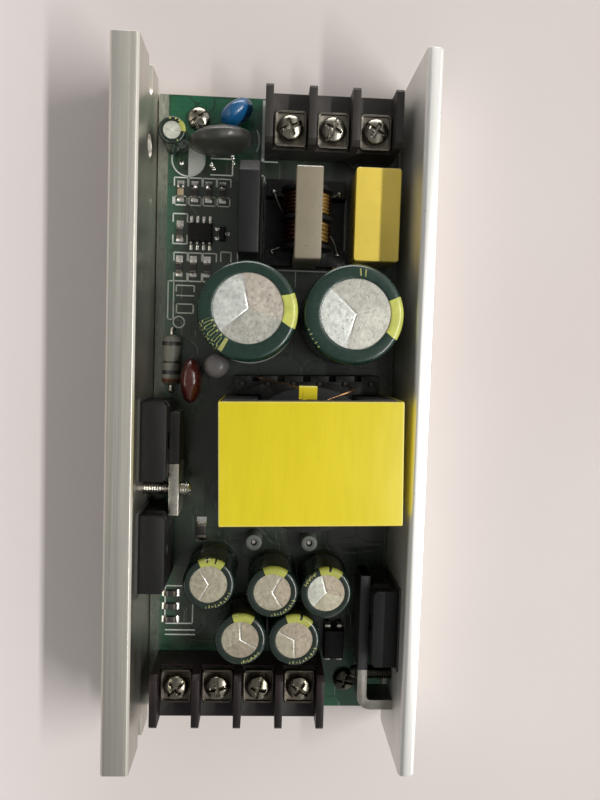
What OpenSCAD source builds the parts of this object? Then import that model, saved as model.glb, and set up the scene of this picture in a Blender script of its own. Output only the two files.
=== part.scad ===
// Open-frame switching power supply.
// A through-hole board between two aluminium side plates that cool it
// Millimetres: X across the board, +Y to the input end, Z up from the plates' lower edges

/* [Board] */
// Width of the board
board_width = 50; // [50:0.1:75]
// Length of the board
board_length = 127.8; // [127.8:0.1:170]
// Thickness of the circuit board
board_t = 1.6; // [1:0.1:2.4]
// Height of the board's underside above the plates' lower edges
board_lift = 2; // [1.8:0.1:5]
// Gap between the board's long edges and the plates
board_clear = 0.2; // [0.1:0.05:0.6]
// Free strip along the board's right edge
margin_right = 2; // [1.5:0.1:5]
// Free strip along the board's left edge
margin_left = 3.3; // [2.5:0.1:6]
// Distance from a terminal block's front to the end of the board
end_inset = 1.3; // [0.5:0.1:5]
// Least spare width of a lead hole around its lead
hole_clear = 0.3; // [0.2:0.05:0.5]
// Length of a lead below the board
lead_tail = 1.3; // [0.8:0.1:1.6]

/* [Side plates] */
// Thickness of the left plate
left_plate_t = 5.2; // [4:0.1:9]
// Thickness of the right plate
right_plate_t = 3; // [2.6:0.1:8]
// Height of both plates above the board's top
plate_rise = 20.9; // [19:0.1:30]
// Length of each plate beyond the end of the board
plate_overhang = 2.9; // [1:0.1:8]
// Bevel along the left plate's upper edges
plate_bevel = 0.45; // [0.2:0.05:1]
// Radius of the right plate's upper inner edge
right_edge_r = 0.9; // [0.3:0.1:1.2]
// Rebate along the right plate's upper outer edge
right_rebate = 0.6; // [0.3:0.1:1]
// Width of the left plate's fixing slots and hole
fixing_d = 4.4; // [3.2:0.1:5.5]
// Depth of a fixing slot from the plate's end
fixing_slot_l = 6.2; // [4.5:0.1:8]
// Height of the fixings above the board's top
fixing_rise = 9; // [7:0.1:12]
// Distance of the fixing hole from the plate's input end
fixing_hole_inset = 15.9; // [13:0.1:20]
// Width of the lug that takes a board screw
lug_w = 8.2; // [6:0.1:9]
// Distance of the lug's tip beyond its screw
lug_tip = 4.3; // [3.5:0.1:5]

/* [Screws] */
// Thread diameter of every screw
screw_d = 3; // [2.5:0.1:3.2]
// Diameter of a pan head
head_d = 4.6; // [4.4:0.1:5.8]
// Height of a pan head
head_h = 2; // [1.6:0.1:2.4]
// Width of the cross recess
recess_w = 0.7; // [0.5:0.05:0.9]
// Depth of the cross recess
recess_depth = 1.1; // [0.6:0.1:1.3]
// Play between a screw and its hole
screw_play = 0.1; // [0.05:0.05:0.3]
// Distance of a board screw from its plate
board_screw_reach = 8.4; // [7.5:0.1:10]
// Distance of the input end's screw from the board's end
board_screw_inset = 4.8; // [4.6:0.1:7]
// Distance of the output end's screw from the board's end
output_screw_inset = 6.2; // [4.6:0.1:7]

/* [Terminal blocks] */
// Pitch of the poles
pole_pitch = 8.25; // [8:0.05:10]
// Number of input poles
input_poles = 3; // [2:1:3]
// Number of output poles
output_poles = 4; // [2:1:4]
// Depth of a block from front to rear
block_depth = 10.8; // [10.8:0.1:15]
// Height of a barrier
block_h = 12.3; // [11.5:0.1:16]
// Height of the floor between barriers
block_floor_h = 7; // [6:0.1:7.5]
// Thickness of a barrier
barrier_t = 1.5; // [1:0.1:1.8]
// Width across a contact plate
contact_w = 6.2; // [5.8:0.1:6.3]
// Length of a contact plate
contact_l = 6.2; // [5.8:0.1:6.4]
// Thickness of a contact plate
contact_t = 0.9; // [0.6:0.1:1.2]
// Side of the square clamp under a screw head
clamp_side = 6.3; // [6.1:0.1:6.5]
// Thickness of that clamp
clamp_sheet = 0.8; // [0.6:0.1:1.2]
// Height of the clamp's turned-up rim
clamp_rim_h = 0.5; // [0.2:0.1:0.8]
// Thickness of the clamp's turned-up rim
clamp_rim_t = 0.45; // [0.3:0.05:0.5]
// Diameter of a terminal screw's head
terminal_head_d = 5; // [4.5:0.1:5.2]
// Distance from a block's front to its screws
block_screw_inset = 7.3; // [7:0.1:7.4]
// Side of a contact's pin
contact_pin = 1.1; // [0.8:0.1:1.3]

/* [Transformer] */
// Length of the core across the board
core_w = 32; // [30:0.1:36]
// Depth of the core along the board
core_depth = 22; // [20:0.1:24]
// Height of the closed core
core_h = 21.6; // [19:0.1:26]
// Thickness of the core's back
core_back_t = 4.5; // [3.5:0.1:5]
// Diameter of the centre post
core_post_d = 13.4; // [12:0.1:14.5]
// Diameter of the winding space
core_window_d = 27.5; // [26:0.1:28]
// Clear width between the outer legs
core_leg_gap = 19; // [16:0.1:21]
// Thickness of the tape around the core
tape_t = 0.3; // [0.1:0.05:0.5]
// Thickness of the bobbin's walls
bobbin_t = 0.9; // [0.7:0.1:1.2]
// Height of the core above the board
core_rise = 3.6; // [3:0.1:5]
// Depth of a pin rail beyond the core
rail_depth = 3.7; // [3.2:0.1:5]
// Length of a pin rail beyond its last pin
rail_end = 1.8; // [1.2:0.1:3]
// Distance of the pins from a rail's outer face
rail_pin_inset = 1.5; // [1:0.1:2]
// Width of the wire notches between the pins
rail_notch_w = 1.4; // [0.8:0.1:2]
// Depth of the wire notches between the pins
rail_notch_depth = 1.1; // [0.5:0.1:1.6]
// Play between the bobbin and the centre post
bobbin_play = 0.2; // [0.1:0.05:0.4]
// Set-back of the bobbin's flanges from the core's wall
flange_inset = 0.4; // [0.2:0.1:0.8]
// Set-back of the winding from the core's wall
winding_inset = 1; // [0.5:0.1:3]
// Pitch of the pins
rail_pitch = 5.08; // [4.5:0.01:5.4]
// Pins on each rail
rail_pins = 6; // [4:1:6]
// Lean of the transformer on the board
core_lean = 1.4; // [0:0.1:2]

/* [Electrolytic capacitors] */
// Diameter of a bulk capacitor's can
bulk_d = 18; // [16:0.1:19]
// Height of a bulk capacitor's can
bulk_h = 20.2; // [16:0.1:30]
// Pitch of a bulk capacitor's leads
bulk_pitch = 7.5; // [5:0.1:8]
// Gap between the bulk capacitors
bulk_gap = 1; // [0.5:0.1:3]
// Diameter of an output capacitor's can
output_d = 10; // [8:0.1:11]
// Height of an output capacitor's can
output_h = 12.4; // [10:0.1:20]
// Pitch of an output capacitor's leads
output_pitch = 5; // [3.5:0.1:5]
// Gap between output capacitors
output_gap = 0.3; // [0.2:0.1:2]
// Diameter of the start-up capacitor's can
startup_d = 5; // [4:0.1:5.5]
// Height of the start-up capacitor's can
startup_h = 8.6; // [7:0.1:13]
// Pitch of the start-up capacitor's leads
startup_pitch = 2; // [1.8:0.1:2.5]
// Thickness of a shrunk sleeve
sleeve_t = 0.15; // [0.1:0.05:0.3]
// Share of a can's top that its sleeve leaves bare
sleeve_bare = 0.71; // [0.6:0.01:0.85]
// Radius of a can's upper edge as a share of its diameter
can_edge = 0.06; // [0.03:0.01:0.1]
// Depth of the vent score
score_depth = 0.2; // [0.1:0.05:0.4]
// Width of the vent score
score_w = 0.45; // [0.3:0.05:0.8]
// Diameter of the leads
lead_d = 0.8; // [0.6:0.05:0.9]

/* [Choke] */
// Length of the ferrite frame
choke_l = 17; // [16:0.1:19]
// Height of the ferrite frame
choke_h = 15.2; // [14.6:0.1:18]
// Thickness of the ferrite frame
choke_t = 5; // [4:0.1:6]
// Height of the frame's bars
choke_bar_h = 2.4; // [2:0.1:2.6]
// Length of the frame's end legs
choke_leg_l = 2.5; // [2:0.1:3]
// Diameter of the leg inside the coils
choke_core_d = 4.2; // [3.5:0.1:4.6]
// Wall of the spool
spool_t = 0.7; // [0.5:0.1:0.8]
// Play between the spool and the frame
spool_play = 0.15; // [0.1:0.05:0.3]
// Diameter of the winding wire
wire_d = 0.9; // [0.7:0.05:1]
// Width of the base under the frame
choke_base_w = 16.2; // [14:0.1:17]
// Thickness of the base under the frame
choke_base_t = 1; // [0.8:0.1:2]
// Height of the cheeks at the ends of the base
cheek_h = 5; // [3:0.1:6]
// Length of a cheek along the base
cheek_l = 3.3; // [3:0.05:4]
// Distance of the choke's pins from the base's long edges
choke_pin_side = 1.6; // [1:0.1:2.4]
// Distance of the choke's pins from the base's ends
choke_pin_end = 2.6; // [1.2:0.1:2.8]

/* [Other parts] */
// Width of the film capacitor
film_w = 8.6; // [6:0.1:10]
// Length of the film capacitor
film_l = 17.6; // [16.5:0.1:19]
// Height of the film capacitor
film_h = 12; // [9:0.1:16]
// Pitch of the film capacitor's leads
film_pitch = 15; // [12:0.1:15]
// Thickness of the bridge rectifier
bridge_t = 4; // [3.5:0.1:6.5]
// Length of the bridge rectifier
bridge_l = 17.5; // [17:0.1:19]
// Height of the bridge rectifier
bridge_h = 14; // [10:0.1:18]
// Bevel on the bridge rectifier's positive corner
bridge_bevel = 2.4; // [1.5:0.1:3]
// Pitch of the bridge rectifier's leads
bridge_pitch = 5; // [4:0.1:5]
// Diameter of the thermistor disc
thermistor_d = 12.6; // [9:0.1:13.4]
// Thickness of the thermistor disc
thermistor_t = 4.8; // [3:0.1:5]
// Diameter of the varistor disc
varistor_d = 7.2; // [5:0.1:8]
// Thickness of the varistor disc
varistor_t = 4.4; // [3:0.1:5]
// Width of the dipped capacitor
dipped_w = 4.2; // [3.4:0.1:4.4]
// Length of the dipped capacitor
dipped_l = 9.2; // [8:0.1:10]
// Height of the dipped capacitor
dipped_h = 8.4; // [7:0.1:11]
// Diameter of the round bead capacitor
bead_cap_d = 5; // [4:0.1:5.4]
// Height of the round bead capacitor
bead_cap_h = 8; // [6:0.1:10]
// Diameter of the power resistor
resistor_d = 3.9; // [3:0.1:4.1]
// Run of the power resistor's leads beyond its ends
resistor_run = 1.2; // [0.8:0.1:2]
// Height of the power resistor above the board
resistor_rise = 0.3; // [0.1:0.1:1]
// Height of the dipped discs above the board
disc_rise = 1.2; // [0.6:0.1:2]
// Height of the dipped capacitor above the board
dipped_rise = 0.6; // [0.2:0.1:2]
// Height of the bridge rectifier above the board
bridge_rise = 2; // [1:0.1:3]
// Height of the film capacitor's feet
film_foot_h = 0.3; // [0.2:0.1:0.8]
// Length of the power resistor
resistor_l = 10.4; // [9:0.1:11]
// Outside diameter of a ferrite bead
bead_d = 3.4; // [3:0.1:4.5]
// Bore of a ferrite bead
bead_bore = 1.2; // [1:0.1:1.5]
// Height of a ferrite bead
bead_h = 4.5; // [3:0.1:6]
// Thickness of the wire through a bead
bead_wire_d = 0.8; // [0.6:0.1:0.9]
// Length of the optocoupler along the board
opto_l = 6.4; // [5.5:0.1:7]
// Width of the optocoupler
opto_w = 4.4; // [4:0.1:4.8]
// Pitch of the optocoupler's leads
opto_pitch = 2.54; // [2:0.01:3]
// Reach of the optocoupler's leads beyond its body
opto_reach = 0.6; // [0.5:0.1:1]
// Height of the optocoupler
opto_h = 3.6; // [3:0.1:4.2]

/* [Cooled semiconductors] */
// Width of a package along its plate
package_w = 15; // [13:0.1:15.6]
// Height of a package
package_h = 14.5; // [13.5:0.1:17]
// Thickness of a package
package_t = 4.9; // [4:0.1:5.2]
// Height of a package above the board
package_rise = 1.6; // [1:0.1:3]
// Diameter of the eye in a package
package_eye_d = 3.4; // [2.6:0.1:3.8]
// Thickness of an insulating pad
pad_t = 0.3; // [0.2:0.05:0.6]
// Width of an insulating pad beyond its package
pad_rim = 0.6; // [0.2:0.1:0.8]
// Pitch of the leads
package_pitch = 5; // [4:0.1:5.4]
// Width of a lead
package_lead_w = 1.2; // [0.8:0.1:1.4]
// Thickness of a lead
package_lead_t = 0.6; // [0.5:0.05:0.8]
// Thickness of a clamp where it is bare
clamp_t = 2; // [1.6:0.1:2.6]
// Height of a clamp
clamp_h = 7; // [6:0.1:8]
// Height of a clamp's upper edge above the board
clamp_rise = 12.2; // [11.5:0.1:13]
// Wall of the insulating sleeve on a clamp's arm
clamp_sleeve_t = 0.3; // [0.2:0.05:0.5]
// Gap between the left clamp's screw and the upper package
switch_gap_upper = 2.4; // [2.1:0.1:3]
// Gap between the left clamp's screw and the lower package
switch_gap_lower = 4; // [2.1:0.1:4.4]
// Reach of the left clamp's bare end below its screw
left_bare_lower = 4.8; // [4.4:0.1:6]
// Reach of the left clamp's bare end above its screw
left_bare_upper = 5.3; // [3:0.1:6]
// Length of the left clamp's sleeved arm
left_arm_l = 10; // [6:0.1:10.4]
// Length of the right clamp's bare end
right_bare_l = 8.2; // [7.5:0.1:10]
// Length of the right clamp's sleeved arm
right_arm_l = 19; // [14:0.1:20]
// Outer radius of the right clamp's bend
clamp_bend_r = 2.8; // [2.2:0.1:4]
// Length of the left screw's tip beyond the clamp
screw_tip = 2; // [1:0.1:3]

/* [Surface-mount parts] */
// Length of a chip part
chip_l = 2; // [1.6:0.1:2.4]
// Width of a chip part
chip_w = 1.25; // [0.8:0.05:1.6]
// Height of a chip part
chip_h = 0.6; // [0.4:0.05:0.9]
// Length of a chip part's end cap
chip_cap_l = 0.4; // [0.25:0.05:0.5]
// Pitch of the chip parts in a row
chip_pitch = 2.85; // [2.7:0.05:3]
// Length of the controller's body
controller_l = 4.9; // [4.7:0.1:5.1]
// Width of the controller's body
controller_w = 3.9; // [3.7:0.1:4.1]
// Height of the controller's body
controller_h = 1.5; // [1.2:0.1:1.75]
// Pitch of the controller's leads
controller_pitch = 1.27; // [1.2:0.01:1.3]

/* [Places on the board] */
// Gap between neighbouring small parts
part_gap = 0.4; // [0.3:0.1:1]
// Distance of the terminal blocks from the board's long edges
block_side_inset = 2; // [1:0.1:4]
// Gap at the transformer's right side
transformer_side_gap = 0.1; // [0:0.1:3]
// Gap beside a clamp or its screw
clamp_gap = 1.6; // [0.8:0.1:3]
// Extra gap beside the first output capacitor
first_output_gap = 1.9; // [0.5:0.1:3]
// Shift of that capacitor towards the input end
first_output_shift = 1.4; // [0:0.1:2]
// Distance of the start-up capacitor from the board's edge
startup_inset = 1.4; // [1:0.1:3]
// Shift of the thermistor behind the start-up capacitor
thermistor_shift = 1.4; // [0:0.1:2]
// Shift of the varistor to the right of the thermistor
varistor_shift = 2.8; // [2:0.1:4]
// Distance of the power resistor from the board's edge
resistor_inset = 1.8; // [1:0.1:3]
// Distance of the dipped capacitor from the transformer's core
dipped_gap = 2.3; // [2:0.1:5]
// Shift of the left ferrite bead from the transformer's middle
bead_left_shift = 10; // [6:0.1:12]
// Shift of the right ferrite bead from the transformer's middle
bead_right_shift = 1.5; // [0:0.1:6]
// Distance of the optocoupler's middle from the output block
opto_gap = 2.9; // [1:0.1:4]
// Distance of the first chip row behind the choke's front
chip_row_gap = 3.5; // [2:0.1:5]
// Distance from the first chip row to the controller
controller_gap = 8.1; // [6:0.1:9]
// Distance from the controller to the second chip row
chip_row2_gap = 7.1; // [6:0.1:8]
// Distance of the wide chip from the transformer's left side
wide_chip_gap = 4.8; // [3:0.1:6]
// Distance of the wide chip behind the transformer's core
wide_chip_shift = 7.5; // [4:0.1:8]
// Distance of the chip column behind the output capacitors
chip_column_gap = 4.6; // [4:0.1:5]
// Distance of the left clamp's screw behind the transformer
left_screw_shift = 7.9; // [4:0.1:9]
// Distance of the right clamp's foot from the output block
right_foot_gap = 4.2; // [2:0.1:5]
// Distance of the output rectifier from the right clamp
rectifier_gap = 2.2; // [1.2:0.1:3]

/* [Rows along the board] */
// Gap behind the input block
gap_input = 3.9; // [1.2:0.1:5]
// Distance of the choke behind its row's front
choke_shift = 1.2; // [0:0.1:2]
// Gap before the bulk capacitors
gap_bulk = 1.1; // [0.8:0.1:5]
// Gap before the transformer's pin rail
gap_transformer = 2.5; // [1:0.1:5]
// Gap before the ferrite beads
gap_bead = 3.1; // [1:0.1:6]
// Gap before the output capacitors
gap_output = 0.8; // [0.4:0.1:5]
// Gap before the output block
gap_block = 2.3; // [0.3:0.1:4]
// Gap beside the choke
gap_choke = 1; // [0.6:0.1:3]

/* [Hidden] */

// Facets of large, middle and small rounds, and of leads
fn_large = 48;
fn_mid = 32;
fn_small = 20;
fn_lead = 8;
// Overlap that makes a cut come out clean
cut = 1;

// Heights
board_top = board_lift + board_t;
plate_h = board_top + plate_rise;
lead_drop = board_t + lead_tail;

// Rows along the board, from the input end to the output end
sleeved_bulk_d = bulk_d + 2 * sleeve_t;
sleeved_output_d = output_d + 2 * sleeve_t;
output_step = sleeved_output_d + output_gap;
// The second row of output capacitors nests into the first
output_nest = 0.43 * output_step;
output_row_step = sqrt(output_step * output_step - output_nest * output_nest);
row_a_l = max(choke_shift + choke_l, film_l, bridge_l);
transformer_l = core_depth + 2 * tape_t + 2 * rail_depth;
rows_l = 2 * end_inset + 2 * block_depth + gap_input + row_a_l + gap_bulk + sleeved_bulk_d
  + gap_transformer + transformer_l + gap_bead + bead_d + gap_output + sleeved_output_d
  + output_row_step + gap_block;
board_l = max(board_length, rows_l);
// The six gaps share what the board is longer than its rows
spare = (board_l - rows_l) / 6;
plate_l = board_l + 2 * plate_overhang;
input_front_y = board_l / 2 - end_inset;
row_a_y = input_front_y - block_depth - gap_input - spare;
bulk_y = row_a_y - row_a_l - gap_bulk - spare - sleeved_bulk_d / 2;
transformer_y = bulk_y - sleeved_bulk_d / 2 - gap_transformer - spare - transformer_l / 2;
bead_y = transformer_y - transformer_l / 2 - gap_bead - spare - bead_d / 2;
output_y = bead_y - bead_d / 2 - gap_output - spare - sleeved_output_d / 2;
output_row2_y = output_y - output_row_step;
output_front_y = -board_l / 2 + end_inset;

// Widths that the rows need; the widest one sets the board
chip_zone_w = 4 * chip_pitch + part_gap;
row_a_w = margin_left + chip_zone_w + gap_choke + bridge_t + gap_choke + choke_base_w + gap_choke
  + film_w + margin_right;
row_bulk_w = resistor_inset + resistor_d + part_gap + 2 * sleeved_bulk_d + bulk_gap + margin_right;
package_depth = pad_t + package_t;
cooled_depth = package_depth + clamp_t;
block_input_w = input_poles * pole_pitch + barrier_t;
block_output_w = output_poles * pole_pitch + barrier_t;
rail_l = (rail_pins - 1) * rail_pitch + 2 * rail_end;
transformer_side_w = transformer_side_gap + margin_right;
row_transformer_w = cooled_depth + screw_tip + clamp_gap + core_w + 2 * tape_t + transformer_side_w;
row_small_w = resistor_inset + resistor_d + dipped_w + bead_cap_d + 3 * part_gap
  + (rail_l + core_w) / 2 + tape_t + transformer_side_w;
row_output_w = package_depth + part_gap + 3 * output_step + first_output_gap + clamp_gap
  + cooled_depth;
row_input_w = startup_inset + startup_d + sleeve_t + thermistor_d
  + max(0, varistor_shift + varistor_d / 2 - thermistor_d / 2) + 2 * part_gap + block_input_w
  + block_side_inset;
row_screw_w = block_side_inset + block_output_w + part_gap + head_d / 2 + board_screw_reach;
row_opto_w = block_side_inset + block_output_w + opto_w + 2 * part_gap + cooled_depth;
board_w = max(board_width, row_a_w, row_bulk_w, row_transformer_w, row_small_w, row_output_w,
  row_input_w, row_screw_w, row_opto_w);
gap_w = board_w + 2 * board_clear;
overall_w = left_plate_t + gap_w + right_plate_t;
board_x = (left_plate_t - right_plate_t) / 2;
board_left = -board_w / 2;
board_right = board_w / 2;
left_face_x = board_left - board_clear;
right_face_x = board_right + board_clear;

// Places across the board
film_x = board_right - margin_right - film_w / 2;
choke_x = film_x - film_w / 2 - gap_choke - choke_base_w / 2;
choke_y = row_a_y - choke_shift - choke_l / 2;
bridge_x = choke_x - choke_base_w / 2 - gap_choke - bridge_t / 2;
bulk_right_x = board_right - margin_right - sleeved_bulk_d / 2;
bulk_left_x = bulk_right_x - sleeved_bulk_d - bulk_gap;
transformer_x = board_right - transformer_side_w - core_w / 2 - tape_t;
output_x3 = right_face_x - cooled_depth - clamp_gap - sleeved_output_d / 2;
output_x2 = output_x3 - output_step;
output_x1 = output_x2 - output_step - first_output_gap;
output_x5 = output_x2 + output_nest;
output_x4 = output_x5 - output_step;
output_places = [
  [output_x1, output_y + first_output_shift], [output_x2, output_y], [output_x3, output_y],
  [output_x4, output_row2_y], [output_x5, output_row2_y]
];
// Turn of each output capacitor's vent score
output_turns = [0, 60, 106, 90, 32];
bulk_turns = [105, 135];
startup_turn = 30;
input_x = board_right - block_side_inset - block_input_w / 2;
output_x = board_left + block_side_inset + block_output_w / 2;
// The start-up capacitor's leads pass beside the lug
startup_x = board_left + startup_inset + startup_d / 2;
startup_y = board_l / 2 - board_screw_inset - lug_w / 2 - part_gap - lead_d / 2;
thermistor_x = startup_x + startup_d / 2 + sleeve_t + part_gap + thermistor_d / 2;
thermistor_y = startup_y - thermistor_shift;
thermistor_turn = 6;
varistor_x = thermistor_x + varistor_shift;
varistor_y = thermistor_y + thermistor_t / 2 + varistor_d / 2 + part_gap;
varistor_turn = 35;
dipped_x = board_left + resistor_inset + resistor_d + part_gap + dipped_w / 2;
dipped_y = transformer_y + core_depth / 2 + dipped_gap;
// The bead capacitor nests against the left bulk capacitor
bead_cap_x = dipped_x + dipped_w / 2 + part_gap + bead_cap_d / 2;
bead_cap_reach = (sleeved_bulk_d + bead_cap_d) / 2 + part_gap;
bead_cap_y = bulk_y - sqrt(max(0, pow(bead_cap_reach, 2) - pow(bulk_left_x - bead_cap_x, 2)));
bead_places = [[transformer_x - bead_left_shift, bead_y], [transformer_x + bead_right_shift, bead_y]];
// Right of the output block and of the last capacitor
opto_left = max(output_x + block_output_w / 2, output_x5 + sleeved_output_d / 2);
opto_x = opto_left + part_gap + opto_w / 2;
opto_y = output_front_y + block_depth + opto_gap;
chip_row_x = board_left + margin_left + chip_pitch / 2;
chip_row1_y = row_a_y - chip_row_gap;
controller_x = chip_row_x + chip_pitch / 2 + chip_pitch;
controller_y = chip_row1_y - controller_gap;
chip_row2_y = controller_y - chip_row2_gap;
signal_x = controller_x + controller_l / 2 + 5 * part_gap;
wide_chip_x = transformer_x - core_w / 2 - tape_t - wide_chip_gap;
wide_chip_y = transformer_y - core_depth / 2 - wide_chip_shift;
chip_column_x = chip_row_x - part_gap;
chip_column_y = output_y - chip_column_gap;

// Cooled packages
left_screw_y = transformer_y - left_screw_shift;
upper_switch_y = left_screw_y + switch_gap_upper + package_w / 2;
lower_switch_y = left_screw_y - switch_gap_lower - package_w / 2;
// The resistor's lower lead clears the upper package's pad
resistor_x = board_left + resistor_inset + resistor_d / 2;
resistor_half = resistor_l / 2 + resistor_run;
resistor_y = upper_switch_y + package_w / 2 + pad_rim + part_gap + lead_d / 2 + resistor_half;
right_foot_y = output_front_y + right_foot_gap;
right_bare_y = right_foot_y + right_bare_l;
right_screw_y = right_bare_y - screw_d / 2 - part_gap;
rectifier_y = right_bare_y + rectifier_gap + package_w / 2;
clamp_screw_z = clamp_rise - clamp_h / 2;

// Terminal blocks
contact_top = block_floor_h + contact_t;
clamp_top = contact_top + clamp_sheet;
clamp_l = clamp_side * 1.08;
clamp_corner = 2 * clamp_rim_t;

// Transformer
core_half_h = core_h / 2;
window_h = core_h - 2 * core_back_t;
rail_h = core_rise + core_back_t;
bobbin_bore = core_post_d + 2 * bobbin_play;
spool_od = core_window_d - 2 * flange_inset;
winding_od = core_window_d - 2 * winding_inset;

// Choke
choke_axis_z = choke_base_t + choke_h / 2;
spool_bore = choke_core_d + 2 * spool_play;
spool_wall_d = spool_bore + 2 * spool_t;
choke_window_h = choke_h - 2 * choke_bar_h;
spool_flange_d = choke_window_h - 2 * spool_play;
spool_l = choke_l - 2 * choke_leg_l - 2 * spool_play;
bay_l = (spool_l - 3 * spool_t) / 2;
// The turns keep clear of the cheeks
wound_l = min(bay_l, choke_l / 2 - cheek_l - spool_play - spool_t / 2);
turns = floor(wound_l / wire_d);
coil_r = min(spool_wall_d / 2 + 1.5 * wire_d, spool_flange_d / 2 - wire_d / 2);

// Places a child on the board's top
module on_board(x, y) {
  translate([board_x + x, y, board_top])
    children();
}

// Patterns of leads: each places its children once per lead
module pair_leads(x, y, pitch, turn = 0) {
  for (side = [-1, 1])
    translate([x, y])
      rotate(turn)
        translate([side * pitch / 2, 0])
          children();
}

module can_lead_places() {
  pair_leads(bulk_left_x, bulk_y, bulk_pitch)
    children();
  pair_leads(bulk_right_x, bulk_y, bulk_pitch)
    children();
  for (place = output_places)
    pair_leads(place[0], place[1], output_pitch)
      children();
  pair_leads(startup_x, startup_y, startup_pitch)
    children();
  pair_leads(bead_cap_x, bead_cap_y, startup_pitch)
    children();
}

module film_lead_places() {
  pair_leads(film_x, row_a_y - film_l / 2, film_pitch, 90)
    children();
}

module bridge_lead_places() {
  for (i = [-1.5 : 1.5])
    translate([bridge_x, row_a_y - bridge_l / 2 + i * bridge_pitch])
      children();
}

module disc_lead_places() {
  pair_leads(thermistor_x, thermistor_y, thermistor_d * 0.5, thermistor_turn)
    children();
  pair_leads(varistor_x, varistor_y, varistor_d * 0.5, varistor_turn)
    children();
  pair_leads(dipped_x, dipped_y, dipped_l * 0.55, 90)
    children();
}

module resistor_lead_places() {
  pair_leads(resistor_x, resistor_y, 2 * resistor_half, 90)
    children();
}

module choke_pin_places() {
  for (side_x = [-1, 1], side_y = [-1, 1])
    translate([choke_x + side_x * (choke_base_w / 2 - choke_pin_side),
         choke_y + side_y * (choke_l / 2 - choke_pin_end)])
      children();
}

module rail_pin_places() {
  translate([transformer_x, transformer_y])
    rotate(core_lean)
      for (side = [-1, 1], i = [0 : rail_pins - 1])
        translate([(i - (rail_pins - 1) / 2) * rail_pitch,
             side * (core_depth / 2 + tape_t + rail_depth - rail_pin_inset)])
          children();
}

module package_lead_places(face_x, inward, y) {
  for (i = [-1 : 1])
    translate([face_x + inward * (pad_t + package_t * 0.45), y + i * package_pitch])
      children();
}

module all_package_lead_places() {
  package_lead_places(left_face_x, 1, upper_switch_y)
    children();
  package_lead_places(left_face_x, 1, lower_switch_y)
    children();
  package_lead_places(right_face_x, -1, rectifier_y)
    children();
}

module opto_lead_places() {
  for (side_x = [-1, 1], side_y = [-1, 1])
    translate([opto_x + side_x * opto_pitch / 2, opto_y + side_y * (opto_l / 2 + opto_reach)])
      children();
}

module bead_places_each() {
  for (place = bead_places)
    translate(place)
      children();
}

module board_screw_places() {
  translate([left_face_x + board_screw_reach, board_l / 2 - board_screw_inset])
    children();
  translate([right_face_x - board_screw_reach, -board_l / 2 + output_screw_inset])
    children();
}

// Poles of a block in its own frame: front at y = 0, rear along +y
module pole_places(poles) {
  for (i = [0 : poles - 1])
    translate([(i - (poles - 1) / 2) * pole_pitch, 0, 0])
      children();
}

module at_input_block() {
  translate([input_x, input_front_y])
    rotate(180)
      children();
}

module at_output_block() {
  translate([output_x, output_front_y])
    children();
}

contact_pin_y = block_screw_inset + contact_l / 2 - contact_pin / 2;

module contact_pin_places(poles) {
  pole_places(poles)
    translate([0, contact_pin_y, 0])
      children();
}

// Shared small forms
module lead(length, d = lead_d) {
  translate([0, 0, -lead_drop])
    cylinder(d = d, h = length + lead_drop, $fn = fn_lead);
}

module rounded_rect(size, r) {
  for (x = [-1, 1], y = [-1, 1])
    translate([x * (size[0] / 2 - r), y * (size[1] / 2 - r)])
      circle(r = r, $fn = fn_small);
  square([size[0] - 2 * r, size[1]], center = true);
  square([size[0], size[1] - 2 * r], center = true);
}

// Pan-head screw with a cross recess: head on z = 0, shank below
module pan_screw(length, d) {
  dome_r = d * 0.75;
  difference() {
    intersection() {
      cylinder(d = d, h = head_h, $fn = fn_small);
      translate([0, 0, head_h - dome_r])
        sphere(r = dome_r, $fn = fn_mid);
    }
    for (turn = [0, 90])
      rotate(turn)
        translate([0, 0, head_h - recess_depth / 2 + cut / 2])
          cube([d * 0.56, recess_w, recess_depth + cut], center = true);
  }
  translate([0, 0, -length])
    cylinder(d = screw_d, h = length + head_h / 4, $fn = fn_small);
}

// Sealed can on two leads, with a three-armed vent score
module can(d, h, pitch, turn, scored = true) {
  edge = d * can_edge;
  bead = d * 0.03;
  difference() {
    rotate_extrude($fn = fn_large)
      difference() {
        union() {
          square([d / 2 - edge, h]);
          square([d / 2, h - edge]);
          translate([d / 2 - edge, h - edge])
            circle(r = edge, $fn = fn_small);
        }
        // Rolled groove above the seal
        translate([d / 2 + bead * 0.4, d * 0.16])
          circle(r = bead, $fn = fn_small);
        translate([-d, -cut])
          square([d, h + 2 * cut]);
      }
    if (scored)
      for (arm = [0, 120, 240])
        rotate(turn + arm)
          translate([0, -score_w / 2, h - score_depth])
            cube([d * sleeve_bare * 0.47, score_w, score_depth + cut]);
  }
  for (side = [-1, 1])
    translate([side * pitch / 2, 0, 0])
      translate([0, 0, -lead_drop])
        cylinder(d = lead_d, h = lead_drop + 0.5, $fn = fn_lead);
}

// Shrunk sleeve that turns in over the can's upper edge
module can_sleeve(d, h) {
  edge = d * can_edge;
  rotate_extrude($fn = fn_large)
    difference() {
      union() {
        square([d / 2 - edge, h + sleeve_t]);
        square([d / 2 + sleeve_t, h - edge]);
        translate([d / 2 - edge, h - edge])
          circle(r = edge + sleeve_t, $fn = fn_small);
      }
      union() {
        translate([-d, -cut])
          square([1.5 * d - edge, h + cut]);
        translate([-d, -cut])
          square([1.5 * d, h - edge + cut]);
        translate([d / 2 - edge, h - edge])
          circle(r = edge, $fn = fn_small);
      }
      translate([-d, -cut])
        square([d + d / 2 * sleeve_bare, h + d]);
    }
}

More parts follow.
